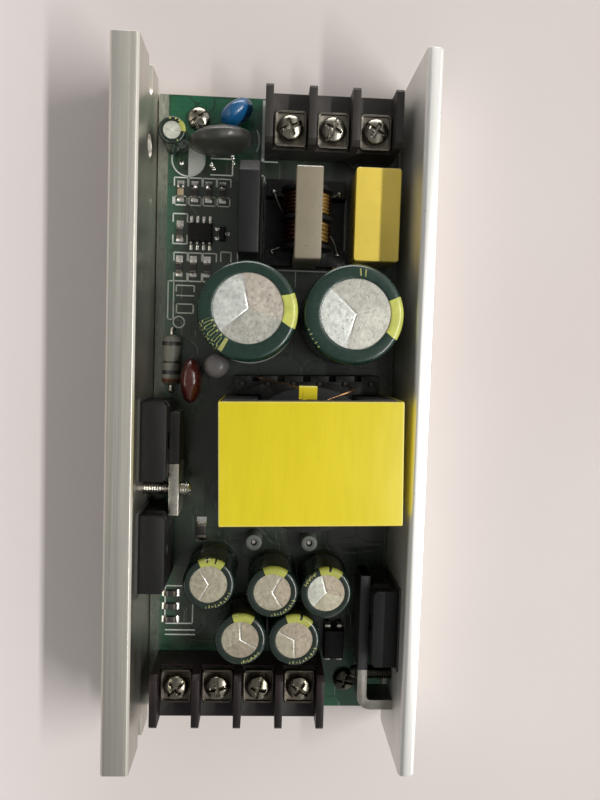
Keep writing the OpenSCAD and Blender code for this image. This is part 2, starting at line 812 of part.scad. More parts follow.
// Disc with a full round rim, standing on two leads
module dipped_disc(d, t, stand) {
  translate([0, 0, stand + d / 2])
    rotate([90, 0, 0])
      rotate_extrude($fn = fn_large)
        intersection() {
          union() {
            translate([0, -t / 2])
              square([(d - t) / 2, t]);
            translate([(d - t) / 2, 0])
              circle(d = t, $fn = fn_small);
          }
          translate([0, -t])
            square([d, 2 * t]);
        }
  for (side = [-1, 1])
    translate([side * d * 0.25, 0, 0])
      lead(stand + d * 0.2);
}

// Moulded package with eye, side notches and bevelled front; back at x = 0
module package() {
  bevel = package_t * 0.14;
  difference() {
    translate([0, 0, package_rise])
      linear_extrude(package_h)
          polygon([
            [0, -package_w / 2], [package_t - bevel, -package_w / 2],
            [package_t, -package_w / 2 + bevel], [package_t, package_w / 2 - bevel],
            [package_t - bevel, package_w / 2], [0, package_w / 2]
          ]);
    translate([-cut, 0, package_rise + package_h * 0.76])
      rotate([0, 90, 0])
        cylinder(d = package_eye_d, h = package_t + 2 * cut, $fn = fn_small);
    for (side = [-1, 1])
      translate([-cut, side * package_w / 2, package_rise + package_h * 0.76])
        rotate([0, 90, 0])
          cylinder(d = package_eye_d * 0.7, h = package_t + 2 * cut, $fn = fn_small);
  }
}

// Countersunk screw along +x: the head is flush with x = 0
module flat_screw(length) {
  head = screw_d * 1.8;
  sink = (head - screw_d) / 2;
  rotate([0, 90, 0])
    difference() {
      rotate_extrude($fn = fn_small)
        polygon([[0, 0], [head / 2, 0], [screw_d / 2, sink], [screw_d / 2, length], [0, length]]);
      for (turn = [0, 90])
        rotate(turn)
          cube([head * 0.5, recess_w, recess_depth], center = true);
    }
}

// Hole for a countersunk screw along +x
module flat_screw_hole(length) {
  head = screw_d * 1.8 + 2 * screw_play;
  bore = screw_d + 2 * screw_play;
  rotate([0, 90, 0])
    rotate_extrude($fn = fn_small)
      polygon([
        [0, -cut], [head / 2, -cut], [head / 2, 0],
        [bore / 2, (head - bore) / 2], [bore / 2, length], [0, length]
      ]);
}

// Side plates: bars whose lower corners step up beyond the board
module plate_end_steps(x, t) {
  for (side = [-1, 1])
    translate([x - cut, side > 0 ? board_l / 2 : -plate_l / 2 - cut, -cut])
      cube([t + 2 * cut, plate_overhang + cut, board_top + cut]);
}

module lug(face_x, inward, end) {
  reach = board_screw_reach + lug_tip;
  y = end * (board_l / 2 - (end > 0 ? board_screw_inset : output_screw_inset));
  translate([board_x + face_x, y, 0])
    difference() {
      translate([inward > 0 ? 0 : -reach, -lug_w / 2, 0])
        cube([reach, lug_w, board_lift]);
      translate([inward * board_screw_reach, 0, -cut])
        cylinder(d = screw_d + 2 * screw_play, h = board_lift + 2 * cut, $fn = fn_small);
    }
}

module heatsink_left() {
  color([0.72, 0.71, 0.67]) {
    difference() {
      translate([-overall_w / 2, 0, 0])
        rotate([90, 0, 0])
          linear_extrude(plate_l, center = true)
            polygon([
              [0, 0], [left_plate_t, 0], [left_plate_t, plate_h - plate_bevel],
              [left_plate_t - plate_bevel, plate_h], [plate_bevel, plate_h],
              [0, plate_h - plate_bevel]
            ]);
      plate_end_steps(-overall_w / 2, left_plate_t);
      // Open fixing slots at both ends, and the fixing hole
      for (side = [-1, 1]) {
        translate([-overall_w / 2 - cut, side * (plate_l / 2 - fixing_slot_l + fixing_d / 2), 0])
          translate([0, 0, board_top + fixing_rise])
            rotate([0, 90, 0])
              cylinder(d = fixing_d, h = left_plate_t + 2 * cut, $fn = fn_mid);
        translate([-overall_w / 2 - cut,
             side > 0 ? plate_l / 2 - fixing_slot_l + fixing_d / 2 : -plate_l / 2 - cut,
             board_top + fixing_rise - fixing_d / 2])
          cube([left_plate_t + 2 * cut, fixing_slot_l - fixing_d / 2 + cut, fixing_d]);
      }
      translate([-overall_w / 2 - cut, plate_l / 2 - fixing_hole_inset, board_top + fixing_rise])
        rotate([0, 90, 0])
          cylinder(d = fixing_d, h = left_plate_t + 2 * cut, $fn = fn_mid);
      translate([-overall_w / 2, left_screw_y, board_top + clamp_screw_z])
        flat_screw_hole(left_plate_t + cut);
    }
    lug(left_face_x, 1, 1);
  }
}

module heatsink_right() {
  color([0.86, 0.86, 0.84]) {
    difference() {
      translate([overall_w / 2 - right_plate_t, 0, 0])
        rotate([90, 0, 0])
          linear_extrude(plate_l, center = true)
            difference() {
              union() {
                square([right_plate_t, plate_h - right_edge_r]);
                translate([right_edge_r, 0])
                  square([right_plate_t - right_edge_r, plate_h]);
                translate([right_edge_r, plate_h - right_edge_r])
                  circle(r = right_edge_r, $fn = fn_mid);
              }
              translate([right_plate_t - right_rebate, plate_h - right_rebate])
                square(right_rebate + cut);
            }
      plate_end_steps(overall_w / 2 - right_plate_t, right_plate_t);
      translate([overall_w / 2, right_screw_y, board_top + clamp_screw_z])
        mirror([1, 0, 0])
          flat_screw_hole(right_plate_t + cut);
    }
    lug(right_face_x, -1, -1);
  }
}

// Board with a hole for every lead, pin and screw
module circuit_board() {
  round_hole = lead_d + hole_clear;
  color([0.1, 0.42, 0.27])
    translate([board_x, 0, board_lift])
      linear_extrude(board_t)
        difference() {
          square([board_w, board_l], center = true);
          can_lead_places()
            circle(d = round_hole, $fn = fn_lead);
          film_lead_places()
            circle(d = round_hole, $fn = fn_lead);
          bridge_lead_places()
            circle(d = round_hole, $fn = fn_lead);
          disc_lead_places()
            circle(d = round_hole, $fn = fn_lead);
          resistor_lead_places()
            circle(d = round_hole, $fn = fn_lead);
          choke_pin_places()
            circle(d = round_hole, $fn = fn_lead);
          rail_pin_places()
            circle(d = round_hole, $fn = fn_lead);
          opto_lead_places()
            circle(d = round_hole, $fn = fn_lead);
          bead_places_each()
            circle(d = bead_wire_d + hole_clear, $fn = fn_lead);
          all_package_lead_places()
            square([package_lead_t + hole_clear, package_lead_w + hole_clear], center = true);
          at_input_block()
            contact_pin_places(input_poles)
              square(contact_pin + hole_clear, center = true);
          at_output_block()
            contact_pin_places(output_poles)
              square(contact_pin + hole_clear, center = true);
          board_screw_places()
            circle(d = screw_d + 2 * screw_play, $fn = fn_small);
        }
}

module board_screws() {
  color("silver")
    translate([board_x, 0, board_top])
      board_screw_places()
        pan_screw(board_t + board_lift, head_d);
}

// Terminal block: floor, barriers, pockets for screws and pins
module terminal_body(poles) {
  w = poles * pole_pitch + barrier_t;
  nose = block_depth * 0.05;
  heel = block_depth * 0.09;
  difference() {
    union() {
      translate([-w / 2, 0, 0])
        cube([w, block_depth, block_floor_h]);
      for (i = [0 : poles])
        translate([(i - poles / 2) * pole_pitch + barrier_t / 2, 0, 0])
          rotate([90, 0, -90])
            linear_extrude(barrier_t)
              polygon([
                [0, 0], [-block_depth, 0], [-block_depth, block_h - heel],
                [-block_depth + heel, block_h], [-nose, block_h], [0, block_h - nose]
              ]);
    }
    pole_places(poles) {
      translate([0, block_screw_inset, block_floor_h / 3])
        cylinder(d = screw_d + 2 * screw_play, h = block_floor_h, $fn = fn_small);
      translate([0, contact_pin_y, block_floor_h / 2])
        cube([contact_pin + 2 * screw_play, contact_pin + 2 * screw_play, block_floor_h + cut],
          center = true);
    }
  }
}

module terminal_contacts(poles) {
  pole_places(poles) {
    difference() {
      translate([-contact_w / 2, block_screw_inset - contact_l / 2, block_floor_h])
        cube([contact_w, contact_l, contact_t]);
      translate([0, block_screw_inset, block_floor_h - cut])
        cylinder(d = screw_d + 2 * screw_play, h = contact_t + 2 * cut, $fn = fn_small);
    }
    translate([-contact_pin / 2, contact_pin_y - contact_pin / 2, -lead_drop])
      cube([contact_pin, contact_pin, lead_drop + block_floor_h]);
  }
}

module terminal_clamps(poles) {
  pole_places(poles)
    translate([0, block_screw_inset, contact_top])
      difference() {
        linear_extrude(clamp_sheet + clamp_rim_h)
          rounded_rect([clamp_side, clamp_l], clamp_corner);
        translate([0, 0, clamp_sheet])
          linear_extrude(clamp_rim_h + cut)
            rounded_rect([clamp_side - 2 * clamp_rim_t, clamp_l - 2 * clamp_rim_t],
              clamp_corner - clamp_rim_t);
        translate([0, 0, -cut])
          cylinder(d = screw_d + 2 * screw_play, h = clamp_sheet + 2 * cut, $fn = fn_small);
      }
}

module terminal_screws(poles) {
  pole_places(poles)
    translate([0, block_screw_inset, clamp_top])
      pan_screw(clamp_top - block_floor_h / 3 - part_gap, terminal_head_d);
}

module stand_input_block() {
  translate([board_x, 0, board_top])
    at_input_block()
      children();
}

module stand_output_block() {
  translate([board_x, 0, board_top])
    at_output_block()
      children();
}

module input_terminal_body() {
  color([0.13, 0.12, 0.12])
    stand_input_block()
      terminal_body(input_poles);
}

module input_terminal_contacts() {
  color([0.7, 0.68, 0.6])
    stand_input_block()
      terminal_contacts(input_poles);
}

module input_terminal_clamps() {
  color([0.62, 0.6, 0.56])
    stand_input_block()
      terminal_clamps(input_poles);
}

module input_terminal_screws() {
  color("silver")
    stand_input_block()
      terminal_screws(input_poles);
}

module output_terminal_body() {
  color([0.13, 0.12, 0.12])
    stand_output_block()
      terminal_body(output_poles);
}

module output_terminal_contacts() {
  color([0.7, 0.68, 0.6])
    stand_output_block()
      terminal_contacts(output_poles);
}

module output_terminal_clamps() {
  color([0.62, 0.6, 0.56])
    stand_output_block()
      terminal_clamps(output_poles);
}

module output_terminal_screws() {
  color("silver")
    stand_output_block()
      terminal_screws(output_poles);
}

// Transformer: two pot-like core halves close on a flanged bobbin
module at_transformer() {
  on_board(transformer_x, transformer_y)
    rotate(core_lean)
      children();
}

// Core half with its back down and its faces up
module core_half() {
  linear_extrude(core_back_t)
    square([core_w, core_depth], center = true);
  cylinder(d = core_post_d, h = core_half_h, $fn = fn_large);
  linear_extrude(core_half_h)
    difference() {
      square([core_w, core_depth], center = true);
      circle(d = core_window_d, $fn = fn_large);
      square([core_leg_gap, core_depth + cut], center = true);
    }
}

module transformer_core_lower() {
  color([0.22, 0.22, 0.23])
    at_transformer()
      translate([0, 0, core_rise])
        core_half();
}

module transformer_core_upper() {
  color([0.22, 0.22, 0.23])
    at_transformer()
      translate([0, 0, core_rise + core_h])
        mirror([0, 0, 1])
          core_half();
}

module transformer_bobbin() {
  flange_z = core_rise + core_back_t;
  rail_y = core_depth / 2 + tape_t;
  pin_hole = lead_d;
  color([0.16, 0.15, 0.14])
    at_transformer()
      difference() {
        union() {
          translate([0, 0, flange_z])
            cylinder(d = bobbin_bore + 2 * bobbin_t, h = window_h, $fn = fn_large);
          for (z = [flange_z, flange_z + window_h - bobbin_t])
            translate([0, 0, z])
              cylinder(d = spool_od, h = bobbin_t, $fn = fn_large);
          for (side = [-1, 1]) {
            // Pin rail and its tongue to the lower flange
            translate([-rail_l / 2, side > 0 ? rail_y : -rail_y - rail_depth, 0])
              cube([rail_l, rail_depth, rail_h + bobbin_t]);
            translate([-core_leg_gap / 2 + 0.4, side > 0 ? 0 : -rail_y - rail_depth, flange_z])
              cube([core_leg_gap - 0.8, rail_y + rail_depth, bobbin_t]);
          }
        }
        translate([0, 0, flange_z - cut])
          cylinder(d = bobbin_bore, h = window_h + 2 * cut, $fn = fn_large);
        // Pin bores, and wire notches between the pins
        for (side = [-1, 1], i = [0 : rail_pins - 1])
          translate([(i - (rail_pins - 1) / 2) * rail_pitch,
               side * (rail_y + rail_depth - rail_pin_inset), -cut])
            cylinder(d = pin_hole, h = rail_h + bobbin_t + 2 * cut, $fn = fn_lead);
        for (side = [-1, 1], i = [0 : rail_pins - 2])
          translate([(i - (rail_pins - 2) / 2) * rail_pitch, side * (rail_y + rail_depth),
               rail_h + bobbin_t])
            cube([rail_notch_w, 2 * rail_notch_depth, rail_h], center = true);
      }
}

module transformer_winding() {
  flange_z = core_rise + core_back_t;
  color([0.9, 0.84, 0.2])
    at_transformer()
      translate([0, 0, flange_z + bobbin_t])
        difference() {
          cylinder(d = winding_od, h = window_h - 2 * bobbin_t, $fn = fn_large);
          translate([0, 0, -cut])
            cylinder(d = bobbin_bore + 2 * bobbin_t, h = window_h + cut, $fn = fn_large);
        }
}

// Tape loop round the core: top, both ends and underside
module transformer_tape() {
  color([0.9, 0.84, 0.2])
    at_transformer()
      translate([0, 0, core_rise + core_h / 2])
        rotate([90, 0, 0])
          linear_extrude(core_depth, center = true)
            difference() {
              square([core_w + 2 * tape_t, core_h + 2 * tape_t], center = true);
              square([core_w, core_h], center = true);
            }
}

module transformer_pins() {
  color("silver")
    translate([board_x, 0, board_top])
      rail_pin_places()
        lead(rail_h + bobbin_t + 0.6);
}

// Electrolytic capacitors
module bulk_capacitor_left() {
  color([0.78, 0.77, 0.76])
    on_board(bulk_left_x, bulk_y)
      can(bulk_d, bulk_h, bulk_pitch, bulk_turns[0]);
}

module bulk_capacitor_right() {
  color([0.78, 0.77, 0.76])
    on_board(bulk_right_x, bulk_y)
      can(bulk_d, bulk_h, bulk_pitch, bulk_turns[1]);
}

module bulk_capacitor_sleeves() {
  color([0.12, 0.25, 0.23]) {
    on_board(bulk_left_x, bulk_y)
      can_sleeve(bulk_d, bulk_h);
    on_board(bulk_right_x, bulk_y)
      can_sleeve(bulk_d, bulk_h);
  }
}

module output_capacitor(i) {
  color([0.78, 0.77, 0.76])
    on_board(output_places[i][0], output_places[i][1])
      can(output_d, output_h, output_pitch, output_turns[i]);
}

module output_capacitor_1() {
  output_capacitor(0);
}

module output_capacitor_2() {
  output_capacitor(1);
}

module output_capacitor_3() {
  output_capacitor(2);
}

module output_capacitor_4() {
  output_capacitor(3);
}

module output_capacitor_5() {
  output_capacitor(4);
}

module output_capacitor_sleeves() {
  color([0.12, 0.25, 0.23])
    for (place = output_places)
      on_board(place[0], place[1])
        can_sleeve(output_d, output_h);
}

module startup_capacitor() {
  color([0.78, 0.77, 0.76])
    on_board(startup_x, startup_y)
      can(startup_d, startup_h, startup_pitch, startup_turn, false);
}

module startup_capacitor_sleeve() {
  color([0.12, 0.25, 0.23])
    on_board(startup_x, startup_y)
      can_sleeve(startup_d, startup_h);
}

module bead_capacitor() {
  color([0.55, 0.54, 0.5])
    on_board(bead_cap_x, bead_cap_y)
      can(bead_cap_d, bead_cap_h, startup_pitch, 0, false);
}

// Choke: a one-piece ferrite frame whose middle leg carries a spool with two wound bays
module at_choke() {
  on_board(choke_x, choke_y)
    children();
}

// Turns a form drawn along Z onto the choke's axis
module along_choke_axis() {
  translate([0, 0, choke_axis_z])
    rotate([90, 0, 0])
      children();
}

module choke_core() {
  color([0.5, 0.49, 0.44])
    at_choke() {
      translate([0, 0, choke_axis_z])
        rotate([90, 0, 90])
          linear_extrude(choke_t, center = true)
            difference() {
              rounded_rect([choke_l, choke_h], 0.4);
              square([choke_l - 2 * choke_leg_l, choke_window_h], center = true);
            }
      along_choke_axis()
        cylinder(d = choke_core_d, h = choke_l - choke_leg_l, center = true, $fn = fn_mid);
    }
}

module choke_bobbin() {
  color([0.14, 0.13, 0.13])
    at_choke() {
      along_choke_axis()
        rotate_extrude($fn = fn_large) {
          translate([spool_bore / 2, -spool_l / 2])
            square([spool_t, spool_l]);
          for (y = [-spool_l / 2, -spool_t / 2, spool_l / 2 - spool_t])
            translate([spool_bore / 2, y])
              square([(spool_flange_d - spool_bore) / 2, spool_t]);
        }
      // Base with cheeks for the pins
      difference() {
        union() {
          translate([-choke_base_w / 2, -choke_l / 2, 0])
            cube([choke_base_w, choke_l, choke_base_t]);
          for (side_x = [-1, 1], side_y = [-1, 1])
            translate([side_x > 0 ? choke_t / 2 + spool_play : -choke_base_w / 2,
                 side_y > 0 ? choke_l / 2 - cheek_l : -choke_l / 2,
                 0])
              cube([choke_base_w / 2 - choke_t / 2 - spool_play, cheek_l, cheek_h]);
        }
        translate([-choke_x, -choke_y, -cut])
          choke_pin_places()
            cylinder(d = lead_d, h = cheek_h + 2 * cut, $fn = fn_lead);
      }
    }
}

// One wound bay: turns as a scalloped ring
module choke_winding(side) {
  first = side > 0 ? spool_t / 2 : -spool_t / 2 - wound_l;
  slack = (wound_l - turns * wire_d) / 2;
  color([0.72, 0.45, 0.2])
    at_choke()
      along_choke_axis()
        rotate_extrude($fn = fn_mid) {
          translate([spool_wall_d / 2, first + slack + wire_d / 4])
            square([coil_r - spool_wall_d / 2, turns * wire_d - wire_d / 2]);
          for (i = [0 : turns - 1])
            translate([coil_r, first + slack + (i + 0.5) * wire_d])
              circle(d = wire_d, $fn = fn_lead);
        }
}

module choke_winding_front() {
  choke_winding(1);
}

module choke_winding_rear() {
  choke_winding(-1);
}

module choke_pins() {
  color("silver")
    translate([board_x, 0, board_top])
      choke_pin_places()
        lead(cheek_h + 0.6);
}

module film_capacitor() {
  corner = 0.5;
  color([0.9, 0.8, 0.35]) {
    on_board(film_x, row_a_y - film_l / 2) {
      translate([0, 0, film_foot_h])
        linear_extrude(film_h - film_foot_h)
          rounded_rect([film_w, film_l], corner);
      for (x = [-1, 1], y = [-1, 1])
        translate([x * (film_w / 2 - 1), y * (film_l / 2 - 1), 0])
          cylinder(d = 1.2, h = 2 * film_foot_h, $fn = fn_lead);
    }
    translate([board_x, 0, board_top])
      film_lead_places()
        lead(2 * film_foot_h);
  }
}

module bridge_rectifier() {
  color([0.13, 0.13, 0.14])
    on_board(bridge_x, row_a_y - bridge_l / 2)
      translate([-bridge_t / 2, 0, bridge_rise])
        rotate([90, 0, 90])
          linear_extrude(bridge_t)
            polygon([
              [-bridge_l / 2, 0], [bridge_l / 2, 0], [bridge_l / 2, bridge_h - bridge_bevel],
              [bridge_l / 2 - bridge_bevel, bridge_h], [-bridge_l / 2, bridge_h]
            ]);
}

module bridge_rectifier_leads() {
  color("silver")
    translate([board_x, 0, board_top])
      bridge_lead_places()
        lead(bridge_rise);
}

module thermistor() {
  color([0.12, 0.12, 0.12])
    on_board(thermistor_x, thermistor_y)
      rotate(thermistor_turn)
        dipped_disc(thermistor_d, thermistor_t, disc_rise);
}

module varistor() {
  color([0.1, 0.33, 0.6])
    on_board(varistor_x, varistor_y)
      rotate(varistor_turn)
        dipped_disc(varistor_d, varistor_t, disc_rise);
}

// Dipped box capacitor: a block softened from three sides
module dipped_capacitor() {
  stand = dipped_rise;
  color([0.36, 0.18, 0.15])
    on_board(dipped_x, dipped_y) {
      translate([0, 0, stand + dipped_h / 2])
        intersection() {
          linear_extrude(dipped_h, center = true)
            rounded_rect([dipped_w, dipped_l], dipped_w * 0.42);
          rotate([90, 0, 0])
            linear_extrude(dipped_l, center = true)
              rounded_rect([dipped_w, dipped_h], dipped_w * 0.42);
          rotate([90, 0, 90])
            linear_extrude(dipped_w, center = true)
              rounded_rect([dipped_l, dipped_h], dipped_w * 0.5);
        }
      for (side = [-1, 1])
        translate([0, side * dipped_l * 0.275, 0])
          lead(stand + dipped_h * 0.3);
    }
}

// Axial resistor along Y, its leads bent down
module power_resistor() {
  axis_z = resistor_d / 2 + resistor_rise;
  run = resistor_half;
  cuff_l = resistor_l * 0.22;
  color([0.5, 0.5, 0.47])
    on_board(resistor_x, resistor_y) {
      translate([0, 0, axis_z])
        rotate([90, 0, 0])
          rotate_extrude($fn = fn_mid)
            intersection() {
              union() {
                translate([0, -resistor_l / 2 + cuff_l / 2])
                  square([resistor_d / 2 - 0.15, resistor_l - cuff_l]);
                for (side = [-1, 1])
                  translate([0, side * (resistor_l - cuff_l) / 2])
                    rounded_rect([resistor_d, cuff_l], cuff_l * 0.3);
              }
              translate([0, -resistor_l])
                square([resistor_d, 2 * resistor_l]);
            }
      translate([0, 0, axis_z])
        rotate([90, 0, 0])
          cylinder(d = lead_d, h = 2 * run + 0.5, center = true, $fn = fn_lead);
      for (side = [-1, 1])
        translate([0, side * run, 0])
          lead(axis_z + 0.1);
    }
}

// Cooled packages, with their pads and leads
module left_package(y) {
  color([0.12, 0.12, 0.12])
    on_board(left_face_x + pad_t, y)
      package();
}

module switch_transistor_upper() {
  left_package(upper_switch_y);
}

module switch_transistor_lower() {
  left_package(lower_switch_y);
}

module output_rectifier() {
  color([0.12, 0.12, 0.12])
    on_board(right_face_x - pad_t, rectifier_y)
      mirror([1, 0, 0])
        package();
}

module semiconductor_leads() {
  color("silver")
    translate([board_x, 0, board_top])
      all_package_lead_places()
        translate([-package_lead_t / 2, -package_lead_w / 2, -lead_drop])
          cube([package_lead_t, package_lead_w, lead_drop + package_rise]);
}

module pad(x, y) {
  on_board(x, y)
    translate([0, -package_w / 2 - pad_rim, package_rise - pad_rim])
      cube([pad_t, package_w + 2 * pad_rim, package_h + 2 * pad_rim]);
}

module insulating_pads() {
  color([0.35, 0.34, 0.34]) {
    pad(left_face_x, upper_switch_y);
    pad(left_face_x, lower_switch_y);
    pad(right_face_x - pad_t, rectifier_y);
  }
}

// Clamps: a bare end for the screw and an arm in an insulating sleeve
module clamp_arm(x, y0, l) {
  on_board(x, y0)
    translate([clamp_sleeve_t, 0, clamp_rise - clamp_h + clamp_sleeve_t])
      cube([clamp_t - 2 * clamp_sleeve_t, l, clamp_h - 2 * clamp_sleeve_t]);
}

module arm_sleeve(x, y0, l) {
  wall = clamp_sleeve_t;
  on_board(x, y0)
    translate([0, 0, clamp_rise - clamp_h])
      difference() {
        cube([clamp_t, l, clamp_h]);
        translate([wall, -cut, wall])
          cube([clamp_t - 2 * wall, l + 2 * cut, clamp_h - 2 * wall]);
      }
}

left_clamp_x = left_face_x + package_depth;
left_bare_top_y = left_screw_y + left_bare_upper;
right_clamp_x = right_face_x - package_depth - clamp_t;

module left_clamp() {
  color([0.75, 0.75, 0.72]) {
    difference() {
      on_board(left_clamp_x, left_screw_y - left_bare_lower)
        translate([0, 0, clamp_rise - clamp_h])
          cube([clamp_t, left_bare_lower + left_bare_upper, clamp_h]);
      on_board(left_clamp_x - cut, left_screw_y)
        translate([0, 0, clamp_screw_z])
          rotate([0, 90, 0])
            cylinder(d = screw_d + 2 * screw_play, h = clamp_t + 2 * cut, $fn = fn_small);
    }
    clamp_arm(left_clamp_x, left_bare_top_y, left_arm_l);
  }
}

module left_clamp_sleeve() {
  color([0.1, 0.1, 0.1])
    arm_sleeve(left_clamp_x, left_bare_top_y, left_arm_l);
}

// Right clamp: its foot turns through a bend onto the plate
module right_clamp() {
  inner_r = clamp_bend_r - clamp_t;
  color([0.75, 0.75, 0.72]) {
    difference() {
      on_board(right_clamp_x, right_foot_y)
        translate([0, 0, clamp_rise - clamp_h])
          linear_extrude(clamp_h) {
            translate([0, clamp_bend_r])
              square([clamp_t, right_bare_l - clamp_bend_r]);
            translate([clamp_bend_r, 0])
              square([clamp_t + package_depth - clamp_bend_r, clamp_t]);
            intersection() {
              translate([clamp_bend_r, clamp_bend_r])
                difference() {
                  circle(r = clamp_bend_r, $fn = fn_mid);
                  circle(r = inner_r, $fn = fn_mid);
                }
              square(clamp_bend_r);
            }
          }
      on_board(right_clamp_x - cut, right_screw_y)
        translate([0, 0, clamp_screw_z])
          rotate([0, 90, 0])
            cylinder(d = screw_d + 2 * screw_play, h = clamp_t + 2 * cut, $fn = fn_small);
    }
    clamp_arm(right_clamp_x, right_bare_y, right_arm_l);
  }
}

module right_clamp_sleeve() {
  color([0.1, 0.1, 0.1])
    arm_sleeve(right_clamp_x, right_bare_y, right_arm_l);
}

module clamp_screws() {
  color("silver") {
    translate([-overall_w / 2, left_screw_y, board_top + clamp_screw_z])
      flat_screw(left_plate_t + package_depth + clamp_t + screw_tip);
    translate([overall_w / 2, right_screw_y, board_top + clamp_screw_z])
      mirror([1, 0, 0])
        flat_screw(right_plate_t + package_depth + clamp_t + screw_tip / 2);
  }
}

module ferrite_beads() {
  color([0.5, 0.49, 0.47])
    translate([board_x, 0, board_top])
      bead_places_each()
        difference() {
          cylinder(d = bead_d, h = bead_h, $fn = fn_small);
          translate([0, 0, -cut])
            cylinder(d = bead_bore, h = bead_h + 2 * cut, $fn = fn_small);
        }
}

module bead_wires() {
  color("silver")
    translate([board_x, 0, board_top])
      bead_places_each()
        lead(bead_h - 0.8, bead_wire_d);
}

// Surface-mount parts
module gull_lead(w, reach, foot, rise, sheet) {
  translate([0, w / 2, 0])
    rotate([90, 0, 0])
      linear_extrude(w)
        polygon([
          [0, rise], [reach - foot, rise], [reach - foot, sheet], [reach, sheet], [reach, 0],
          [reach - foot - sheet, 0], [reach - foot - sheet, rise - sheet], [0, rise - sheet]
        ]);
}

module controller_chip() {
  lead_rise = controller_h * 0.55;
  color([0.12, 0.12, 0.13])
    on_board(controller_x, controller_y) {
      difference() {
        translate([-controller_l / 2, -controller_w / 2, controller_h / 10])
          cube([controller_l, controller_w, controller_h * 0.9]);
        translate([-controller_l / 2 + controller_w / 4, -controller_w / 4, controller_h - score_depth])
          cylinder(d = controller_w / 5, h = cut, $fn = fn_small);
      }
      for (side = [90, -90], i = [-1.5 : 1.5])
        rotate(side)
          translate([controller_w / 2, i * controller_pitch, 0])
            gull_lead(0.42, 1.05, 0.55, lead_rise, 0.2);
    }
}

module signal_transistor() {
  color([0.12, 0.12, 0.13])
    on_board(signal_x, controller_y) {
      translate([-0.65, -1.45, 0.1])
        cube([1.3, 2.9, 0.95]);
      for (y = [-0.95, 0.95])
        rotate(180)
          translate([0.65, y, 0])
            gull_lead(0.4, 0.6, 0.35, 0.5, 0.12);
      translate([0.65, 0, 0])
        gull_lead(0.4, 0.6, 0.35, 0.5, 0.12);
    }
}

// Chip part along Y with an end cap on each end
module chip(x, y, turn = 0, grow = 1) {
  on_board(x, y)
    rotate(turn) {
      l = chip_l * grow;
      w = chip_w * grow;
      translate([-w / 2, -l / 2 + chip_cap_l / 2, 0])
        cube([w, l - chip_cap_l, chip_h * 0.9]);
      for (side = [-1, 1])
        translate([-w / 2, side > 0 ? l / 2 - chip_cap_l : -l / 2, 0])
          cube([w, chip_cap_l, chip_h]);
    }
}

module chip_components() {
  color([0.16, 0.15, 0.14]) {
    for (i = [0 : 3])
      chip(chip_row_x + i * chip_pitch, chip_row1_y);
    chip(chip_row_x, controller_y);
    for (i = [0 : 2])
      chip(chip_row_x + i * chip_pitch, chip_row2_y);
    chip(wide_chip_x, wide_chip_y, 0, 1.5);
    for (i = [0 : 2])
      chip(chip_column_x, chip_column_y - i * chip_pitch, 90);
  }
}

module optocoupler() {
  color([0.14, 0.14, 0.15]) {
    on_board(opto_x, opto_y)
      difference() {
        translate([-opto_w / 2, -opto_l / 2, part_gap])
          cube([opto_w, opto_l, opto_h - part_gap]);
        translate([opto_w / 2 - opto_w / 4, opto_l / 2 - opto_w / 4, opto_h - score_depth])
          cylinder(d = opto_w / 5, h = cut, $fn = fn_small);
      }
    translate([board_x, 0, board_top])
      opto_lead_places()
        lead(opto_h * 0.6);
    on_board(opto_x, opto_y)
      for (side_x = [-1, 1], side_y = [-1, 1])
        translate([side_x * opto_pitch / 2, side_y * (opto_l / 2 + opto_reach / 2), opto_h * 0.5])
          cube([lead_d, opto_reach + 0.2, opto_h / 9], center = true);
  }
}

heatsink_left();
heatsink_right();
circuit_board();
board_screws();
input_terminal_body();
input_terminal_contacts();
input_terminal_clamps();
input_terminal_screws();
output_terminal_body();
output_terminal_contacts();
output_terminal_clamps();
output_terminal_screws();
transformer_core_upper();
transformer_core_lower();
transformer_bobbin();
transformer_winding();
transformer_tape();
transformer_pins();
bulk_capacitor_left();
bulk_capacitor_right();
bulk_capacitor_sleeves();
output_capacitor_1();
output_capacitor_2();
output_capacitor_3();
output_capacitor_4();
output_capacitor_5();
output_capacitor_sleeves();
startup_capacitor();
startup_capacitor_sleeve();
bead_capacitor();
choke_core();
choke_bobbin();
choke_winding_front();
choke_winding_rear();
choke_pins();
film_capacitor();
bridge_rectifier();
bridge_rectifier_leads();
thermistor();
varistor();
dipped_capacitor();
power_resistor();
switch_transistor_upper();
switch_transistor_lower();
output_rectifier();
semiconductor_leads();
insulating_pads();
left_clamp();
left_clamp_sleeve();
right_clamp();
right_clamp_sleeve();
clamp_screws();
ferrite_beads();
bead_wires();
controller_chip();
signal_transistor();
chip_components();
optocoupler();
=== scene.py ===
"""Looks of the open-frame power supply: materials, fine pieces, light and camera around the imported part."""

from math import atan2, copysign, cos, degrees, hypot, pi, radians, sin

import bmesh
import bpy
from mathutils import Matrix, Vector


